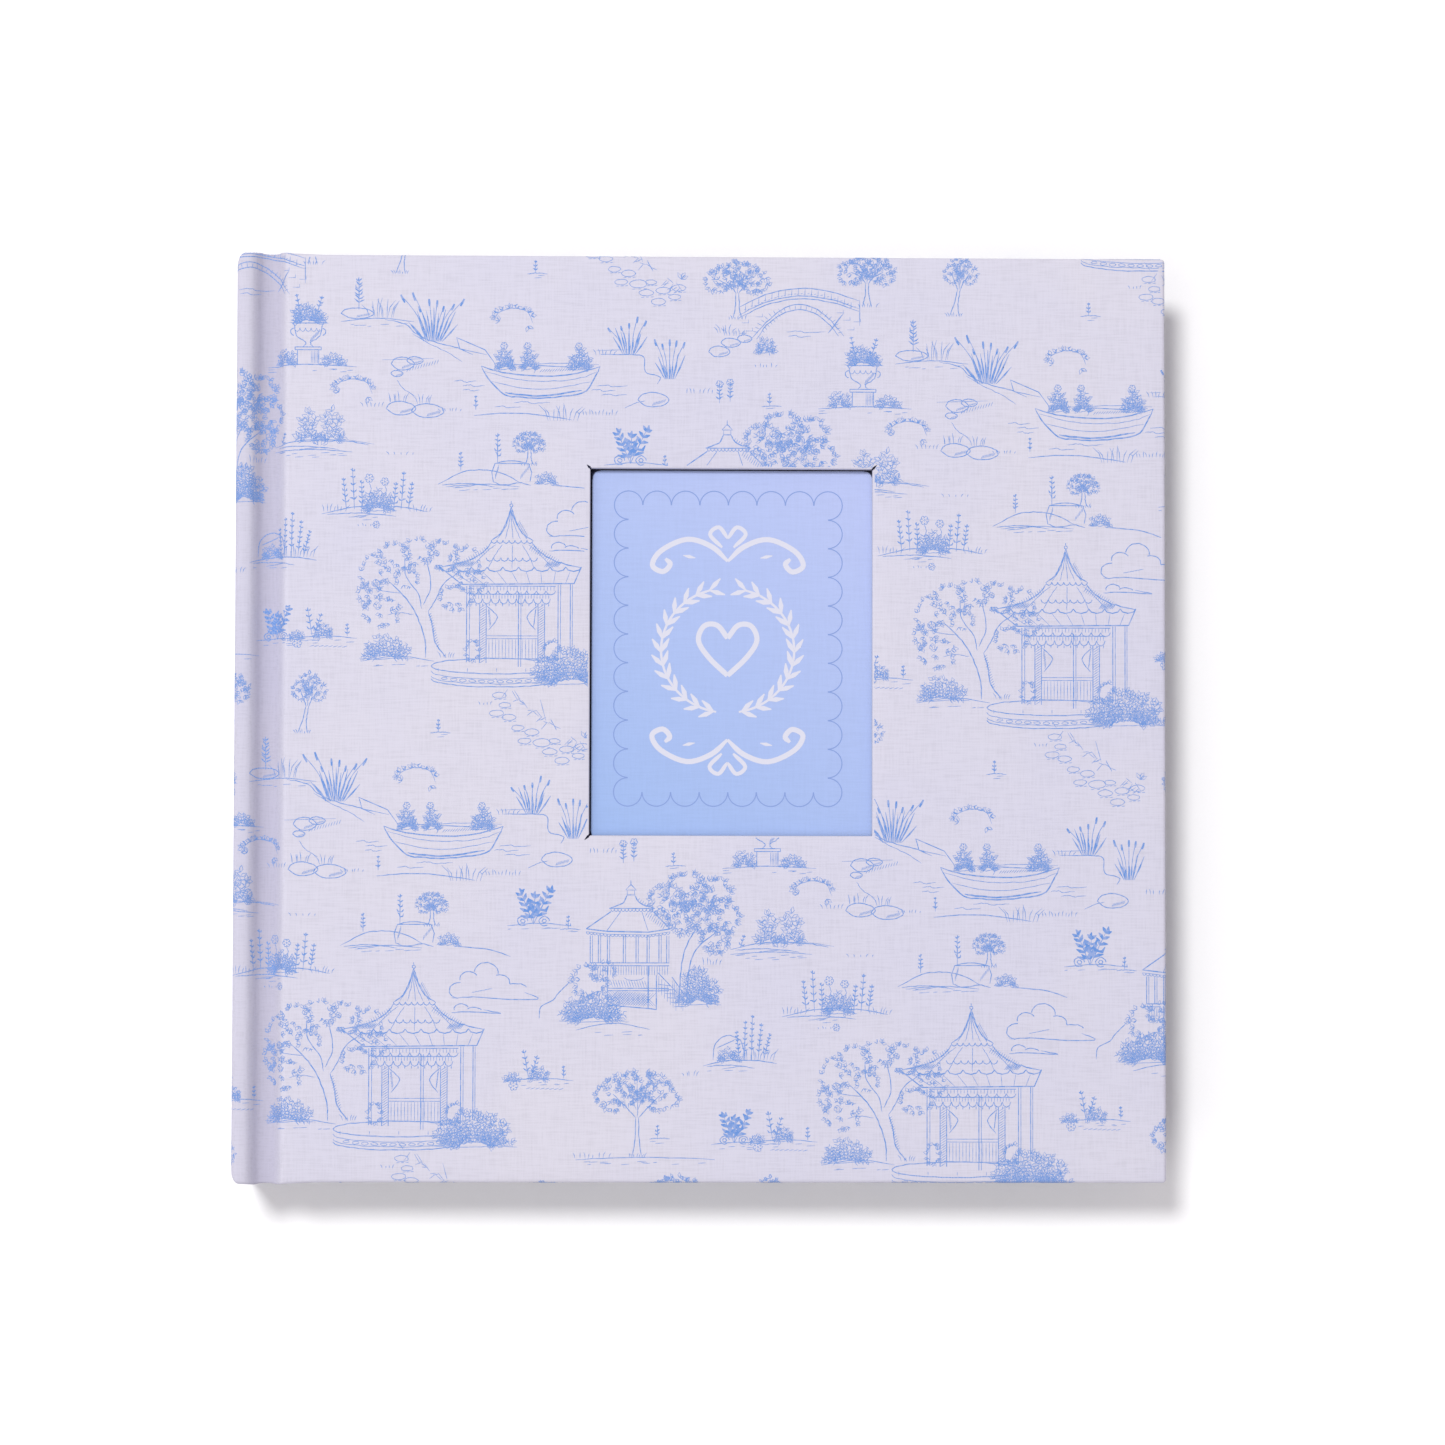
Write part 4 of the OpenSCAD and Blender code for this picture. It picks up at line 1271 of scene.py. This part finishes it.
def ribbons(name, segments, surface, inks, flip=False):
    """Closed three-sided ribbons along the segments, flat on a surface, in the inks by turns."""
    starts, ends, joined = segments
    joined = joined.copy()
    joined[0] = False
    last = np.arange(len(starts)) + np.cumsum(~joined)
    first = last - 1
    rows = np.empty((last[-1] + 1, 3))
    rows[first[~joined]] = starts[~joined]
    rows[last] = ends
    way = (ends - starts)[:, :2]
    way /= np.maximum(np.linalg.norm(way, axis=1, keepdims=True), 1e-12)
    heading = np.zeros((len(rows), 2))
    np.add.at(heading, first, way)
    np.add.at(heading, last, way)
    heading /= np.maximum(np.linalg.norm(heading, axis=1, keepdims=True), 1e-12)
    s, t, half = rows[:, 0], rows[:, 1], rows[:, 2] / 2
    aside_s, aside_t = -heading[:, 1] * half, heading[:, 0] * half
    # Each point has a height of its own, so that no two crossing strokes lie in one plane.
    lift = INK_LIFT * (1 + LIFT_SPREAD * (np.arange(len(rows)) * GOLDEN % 1 - 0.5))[:, None]
    corners = np.stack([
        raised(surface, s + aside_s, t + aside_t, lift),
        raised(surface, s - aside_s, t - aside_t, lift),
        raised(surface, s, t, -INK_DEPTH),
    ], axis=1).reshape(-1, 3)
    if flip:
        corners[:, 2] = TOP_Z - corners[:, 2]
    a, b = 3 * first, 3 * last
    rings = ((a, a + 1, b + 1, b), (a + 1, a + 2, b + 2, b + 1), (a + 2, a, b, b + 2))
    sides = [np.stack(ring, axis=1) for ring in rings]
    closing = ~np.append(joined[1:], False)
    caps = [np.stack([a, a + 2, a + 1], axis=1)[~joined], np.stack([b + 1, b + 2, b], axis=1)[closing]]
    order = slice(None, None, -1 if flip else 1)
    faces = [ring[order] for group in sides + caps for ring in group.tolist()]
    data = bpy.data.meshes.new(name)
    data.from_pydata(corners.tolist(), [], faces)
    for material in inks:
        data.materials.append(material)
    tone = (np.arange(len(starts)) * GOLDEN % 1 * len(inks)).astype(np.int32)
    tones = np.concatenate([tone, tone, tone, tone[~joined], tone[closing]])
    data.polygons.foreach_set("material_index", tones)
    return add_object(name, data)


def print_half(strokes, front):
    """The print on one half of the cloth, as a few pieces."""
    starts, ends, joined = printed_segments(strokes, front)
    side = "front" if front else "back"
    for number, low in enumerate(range(0, len(starts), SEGMENTS_PER_PIECE)):
        part = slice(low, low + SEGMENTS_PER_PIECE)
        piece = ribbons(
            f"cover_print_{side}_{number + 1}", (starts[part], ends[part], joined[part]), cloth_point,
            INKS, not front,
        )
        bend_with_cover(piece)


repeat = draw_repeat()
for front in (True, False):
    print_half(repeat, front)

# ---- Insert card ----
# Drawn in millimetres from the window's lower left corner.
WINDOW_SIZE = (WINDOW_HIGH - WINDOW_LOW) / MM
SCALLOP_R = 3.5
BORDER_PEN, ORNAMENT_PEN = 0.24, 1.3
ORNAMENT_PLACE = np.array([33.9, 45.6])
LAUREL_RX, LAUREL_RY, LAUREL_LEAF = 16.4, 15.4, 4
SCROLL_Y = 24                        # of the scrolls, above and below the heart
SCROLL = ((0, -2), (4, 1.6), (10, 3.4), (16.4, 0.6), (18.6, -3), (16, -4.6), (14.2, -2.8), (15.4, -1.4))
TONGUE, DASH = ((1.4, 1.4), (4.4, 4.6), (2.2, 6.4), (0, 3.6)), ((8, -1.2), (11, -0.6))
HEART = ((0, -6.2), (4.6, -1.8), (7.2, 2.4), (5.8, 6), (2.6, 6.2), (0, 3))
BORDER_LOW, BORDER_HIGH = np.array([5.9, 7.2]), WINDOW_SIZE - (7.3, 5.3)


def scalloped_border(pen):
    """A border of round lobes that meet in inward points."""
    low, high = BORDER_LOW + SCALLOP_R, BORDER_HIGH - SCALLOP_R
    columns, rows = np.linspace(low[0], high[0], 8), np.linspace(low[1], high[1], 11)
    lobes = [lobe for x in columns[1:-1] for lobe in ((x, high[1], 0, 180), (x, low[1], 180, 360))]
    lobes += [lobe for y in rows[1:-1] for lobe in ((low[0], y, 90, 270), (high[0], y, -90, 90))]
    lobes += [(low[0], high[1], 0, 270), (low[0], low[1], 90, 360)]
    lobes += [(high[0], low[1], 180, 450), (high[0], high[1], 270, 540)]
    for x, y, start, stop in lobes:
        pen.ring(x, y, SCALLOP_R, SCALLOP_R, start, stop, BORDER_PEN, 0)


def ornament(pen):
    """A heart in a laurel wreath, between two scrolls."""
    pen.origin = ORNAMENT_PLACE
    for side in (-1, 1):
        pen.curve([(side * x, y) for x, y in HEART], ORNAMENT_PEN, 0.9, 0)
        for turn in np.linspace(-78, 74, 13):
            angle = math.radians(turn)
            base = np.array([side * LAUREL_RX * math.cos(angle), LAUREL_RY * math.sin(angle)])
            for lean in (-0.55, 0.55):
                rise = angle + math.pi / 2 + lean
                tip = base + np.array([side * math.cos(rise), math.sin(rise)]) * LAUREL_LEAF
                pen.line([base, (tip + base) / 2, tip], 1.25, 0.25)
        turn = np.linspace(-1.4, 1.32, 14)
        stem = np.stack([side * LAUREL_RX * np.cos(turn), LAUREL_RY * np.sin(turn)], axis=1)
        pen.curve(stem, 0.6, 0.8, 0)
        for flip in (1, -1):
            scroll, tongue, dash = (
                [(side * x, flip * (SCROLL_Y + y)) for x, y in outline] for outline in (SCROLL, TONGUE, DASH)
            )
            pen.curve(scroll, ORNAMENT_PEN, 0.55, 0)
            pen.curve(tongue, 1.0, 0.5, 0)
            pen.line(dash, 0.9, 0.2)
    pen.origin = np.zeros(2)


def card_point(s, t):
    """Points on the card's face."""
    return np.stack([s, t, np.full_like(s, CARD_HIGH.z)], axis=-1)


for name, draw in (("card_line", scalloped_border), ("card_white", ornament)):
    pen = Pen(seed=3)
    draw(pen)
    starts, ends, joined = segments_of(pen.strokes)
    for rows in (starts, ends):
        rows *= MM
        rows[:, :2] += WINDOW_LOW
    piece = ribbons(name, (starts, ends, joined), card_point, [MATERIALS[name]])
    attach(piece, "window_card")

# ---- Window ----
# Inner outline of a near-black strip at the foot of the window, painted shadow of the window's walls on the card,
# in millimetres from its low corner: it shows at the spine side and the head, and fills three of the corners.
FOOT_WIDE, FOOT_TALL = WINDOW_SIZE
UNDER = 0.08                         # how far the painted shadow strip goes under the cloth where it is hidden
WINDOW_FOOT = np.array([
    (-UNDER, -UNDER), (0.65, -UNDER), (0.35, 1.2), (0.38, 3),
    (0.42, FOOT_TALL - 3), (0.6, FOOT_TALL - 1.5), (1.2, FOOT_TALL - 0.65), (2.6, FOOT_TALL - 0.28),
    (FOOT_WIDE - 2.2, FOOT_TALL - 0.22), (FOOT_WIDE - 0.9, FOOT_TALL - 0.5),
    (FOOT_WIDE - 0.2, FOOT_TALL - 1.2), (FOOT_WIDE + UNDER, FOOT_TALL - 2.2),
    (FOOT_WIDE + UNDER, -UNDER), (-UNDER, -UNDER),
])
EDGE_OUT = 0.33 * MM                 # from the window's side to the outside of the painted shadow strip, in the board
EDGE_LOW, EDGE_HIGH = PLY_Z + 0.02 * MM, PLY_Z + 0.3 * MM


def window_shadow_strip():
    """A near-black strip all round the window, below the cloth: painted shadow of the window's walls, not the
    board's own colour.
    """
    mesh = bmesh.new()
    inner = WINDOW_LOW + WINDOW_FOOT * MM
    middle = (WINDOW_LOW + WINDOW_HIGH) / 2
    reach = np.abs((inner - middle) / ((WINDOW_HIGH - WINDOW_LOW) / 2 + EDGE_OUT)).max(1)
    outer = middle + (inner - middle) / reach[:, None]
    section = ((inner, EDGE_LOW), (inner, EDGE_HIGH), (outer, EDGE_HIGH), (outer, EDGE_LOW))
    loops = [[(x, y, z) for x, y in ring] for ring, z in section]
    add_grid(mesh, loops + loops[:1])
    return finish_mesh(mesh, "window_board_edge", MATERIALS["dark_board"])


def mitre_slit(number, corner, outwards, length):
    """A near-black wedge where the cloth is cut at a corner of the window: the cut is real, and its near-black
    colour is painted shadow in it.
    """
    mesh = bmesh.new()
    outwards = np.array(outwards) / math.sqrt(2)
    aside = np.array([-outwards[1], outwards[0]])
    # Millimetres outwards, to the side, and above the cover.
    for out, side, up in (
        (0.05, 0, -1.9), (-0.2, 0.25, -0.1), (-0.2, -0.25, -0.1), (0.35, 0.32, 0.03), (0.35, -0.32, 0.03),
        (0.65 * length, 0.17, 0.035), (length, 0, 0.03), (0.4 * length, 0, -0.2),
    ):
        x, y = corner + (outwards * out + aside * side) * MM
        mesh.verts.new((x, y, TOP_Z + up * MM))
    bmesh.ops.convex_hull(mesh, input=mesh.verts)
    return finish_mesh(mesh, f"window_slit_{number}", MATERIALS["dark_board"])


window_pieces = [
    window_shadow_strip(),
    mitre_slit(1, np.array([WINDOW_LOW[0], WINDOW_HIGH[1]]), (-1, 1), 1.3),
    mitre_slit(2, WINDOW_HIGH, (1, 1), 1.6),
    mitre_slit(3, WINDOW_LOW, (-1, -1), 1.7),
]
for piece in window_pieces:
    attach(piece, "front_cover")

# ---- Hinges of the pages and endpapers ----
BEND_COLUMNS = 7


def bendable_strip(name, low, high, bend, material):
    """A closed flat strip along the spine, with close columns between the two ends of its bend."""
    mesh = bmesh.new()
    columns = [low[0], *np.linspace(*bend, BEND_COLUMNS), high[0]]
    section = ((low[1], low[2]), (high[1], low[2]), (high[1], high[2]), (low[1], high[2]), (low[1], low[2]))
    add_grid(mesh, [[(x, y, z) for y, z in section] for x in columns])
    for x in (low[0], high[0]):
        mesh.faces.new([mesh.verts.new((x, y, z)) for y, z in section[:4]])
    return finish_mesh(mesh, name, material)


PAGES = 16
CREASE = 0.4 * MM                    # gap between a page's guard and its stiff sheet
TAPE_HALF = 0.23 * MM                # half the thickness of the tape that makes the crease
TAPE_IN = 0.4 * MM                   # the tape is this much shorter than the guards, at each end
GUARD_LAP, SHEET_LAP = 0.7 * MM, 1.3 * MM    # how far the tape goes on past the crease
for i in range(PAGES):
    low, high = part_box(f"sleeve_{i + 1:02}")
    middle = (low.z + high.z) / 2
    piece = bendable_strip(
        f"page_hinge_{i + 1:02}",
        (low.x - CREASE - GUARD_LAP, TAPE_IN - PAGE_HALF, middle - TAPE_HALF),
        (low.x + SHEET_LAP, PAGE_HALF - TAPE_IN, middle + TAPE_HALF),
        (low.x - CREASE, low.x), MATERIALS["page_tape"],
    )
    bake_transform(piece)

# A flyleaf's strip has its close columns within the crease of the cover beside it, clear of the cover and of the
# nearest sleeve.
FLY_BEND = 1.9 * MM                  # from the cover's hinge to the end of the flyleaf's bend
FLY_START, FLY_LAP = 0.3 * MM, 0.45 * MM     # how far before its node the bend and the sheet start
for node, body in (("front_flyleaf", "front_fly"), ("rear_flyleaf", "rear_fly")):
    low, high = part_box(node)
    bend = (low.x - FLY_START, HINGE_X + FLY_BEND)
    piece = bendable_strip(node + "_sheet", (low.x - FLY_LAP, *low.yz), high, bend, MATERIALS["endpaper"])
    middle = (low.z + high.z) / 2
    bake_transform(piece)
    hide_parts(node)

# The endpaper runs on from each pastedown over the hinge to the spine.
JOINT_GAP, JOINT_T = 0.03 * MM, 0.15 * MM    # below the pastedown, and thickness
JOINT_START, JOINT_BEND = 0.15 * MM, 0.3 * MM   # from the hinge to the start of the paper and of its bend
JOINT_LAP = 1.5 * MM                 # under the pastedown
for front, side in ((True, "front"), (False, "rear")):
    low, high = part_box(side + "_pastedown")
    top = (low.z if front else TOP_Z - high.z) - JOINT_GAP
    z = (top - JOINT_T, top) if front else (TOP_Z - top, TOP_Z - top + JOINT_T)
    piece = bendable_strip(
        side + "_endpaper_joint", (HINGE_X + JOINT_START, low.y, z[0]), (low.x + JOINT_LAP, high.y, z[1]),
        (HINGE_X + JOINT_BEND, HINGE_X + BEND), MATERIALS["endpaper"],
    )
    bend_with_cover(piece)

# ---- Headbands ----
STITCH = 0.8 * MM                    # width of one wrap of the thread
WRAP = ((0.02, 0.8), (0.3, 0.97), (0.7, 0.97), (0.98, 0.8))  # place along a wrap, and share of the radius
WRAP_SIDES = 14


def headband(node):
    """Two colours of thread wrapped round a cord."""
    low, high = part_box(node)
    centre, r, height = (low + high) / 2, (high.x - low.x) / 2, high.z - low.z
    mesh = bmesh.new()
    wraps = int(height / STITCH)
    turns = np.linspace(0, 2 * math.pi, WRAP_SIDES + 1)
    rings = [
        [(centre.x + r * swell * math.cos(a), centre.y + r * swell * math.sin(a),
          low.z + height * (wrap + share) / wraps) for a in turns]
        for wrap in range(wraps) for share, swell in WRAP
    ]
    add_grid(mesh, rings)
    for ring in (rings[0], rings[-1]):
        mesh.faces.new([mesh.verts.new(p) for p in ring[:-1]])
    piece = finish_mesh(mesh, node + "_thread", MATERIALS["headband"], sharp=80)
    piece.data.materials.append(MATERIALS["headband_blue"])
    for face in piece.data.polygons:
        face.material_index = int((face.center.z - low.z) / height * wraps) % 2
    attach(piece, "spine")
    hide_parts(node)


for node in ("headband_head", "headband_tail"):
    headband(node)

# ---- CAD pieces that show as they are ----
slots = {part["node"]: part["material_slot"] for part in frame["record"]["subparts"]}
for node, piece in frame["nodes"].items():
    piece.data.materials.clear()
    piece.data.materials.append(MATERIALS[slots[node]])

# ---- Floor, light and camera ----
FLOOR_SIZE, FLOOR_DROP = 12, 0.02 * MM


def floor():
    """A plain pale floor, just below the album."""
    bpy.ops.mesh.primitive_plane_add(size=FLOOR_SIZE, location=(0, 0, -FLOOR_DROP))
    plane = bpy.context.object
    plane.name = "floor"
    plane.data.materials.append(plain_material("floor", srgb(250, 250, 250), srgb(249, 249, 249), 0.9))


def lamp(name, direction, size, power, distance=3):
    """A round soft light, aimed at the album."""
    data = bpy.data.lights.new(name, "AREA")
    data.shape = "DISK"
    data.size = size
    data.energy = power
    source = add_object(name, data)
    source.location = np.array(direction) / np.linalg.norm(direction) * distance
    source.rotation_euler = source.location.to_track_quat("Z", "Y").to_euler()


def sky(strength):
    """Even light from all round."""
    world = bpy.data.worlds.new("studio")
    world.use_nodes = True
    background = world.node_tree.nodes["Background"]
    background.inputs["Color"].default_value = srgb(255, 249, 254)
    background.inputs["Strength"].default_value = strength
    bpy.context.scene.world = world


def camera(place, tilt, lens):
    """Looks down; tilt is its turn about X, Y and Z, in degrees."""
    data = bpy.data.cameras.new("camera")
    data.lens = lens
    data.clip_start, data.clip_end = 0.01, 20
    eye = add_object("camera", data)
    eye.location = place
    eye.rotation_euler = [math.radians(turn) for turn in tilt]
    bpy.context.scene.camera = eye


floor()
lamp("key", direction=(-0.25, 0.36, 1), size=0.62, power=55)
lamp("fill", direction=(-0.5, -0.3, 1), size=2.4, power=20)
sky(0.47)
camera(place=(-0.0115, -0.0317, 0.9), tilt=(2.0, -1.11, 0.14), lens=88.64)
bpy.context.scene.view_settings.view_transform = "Standard"
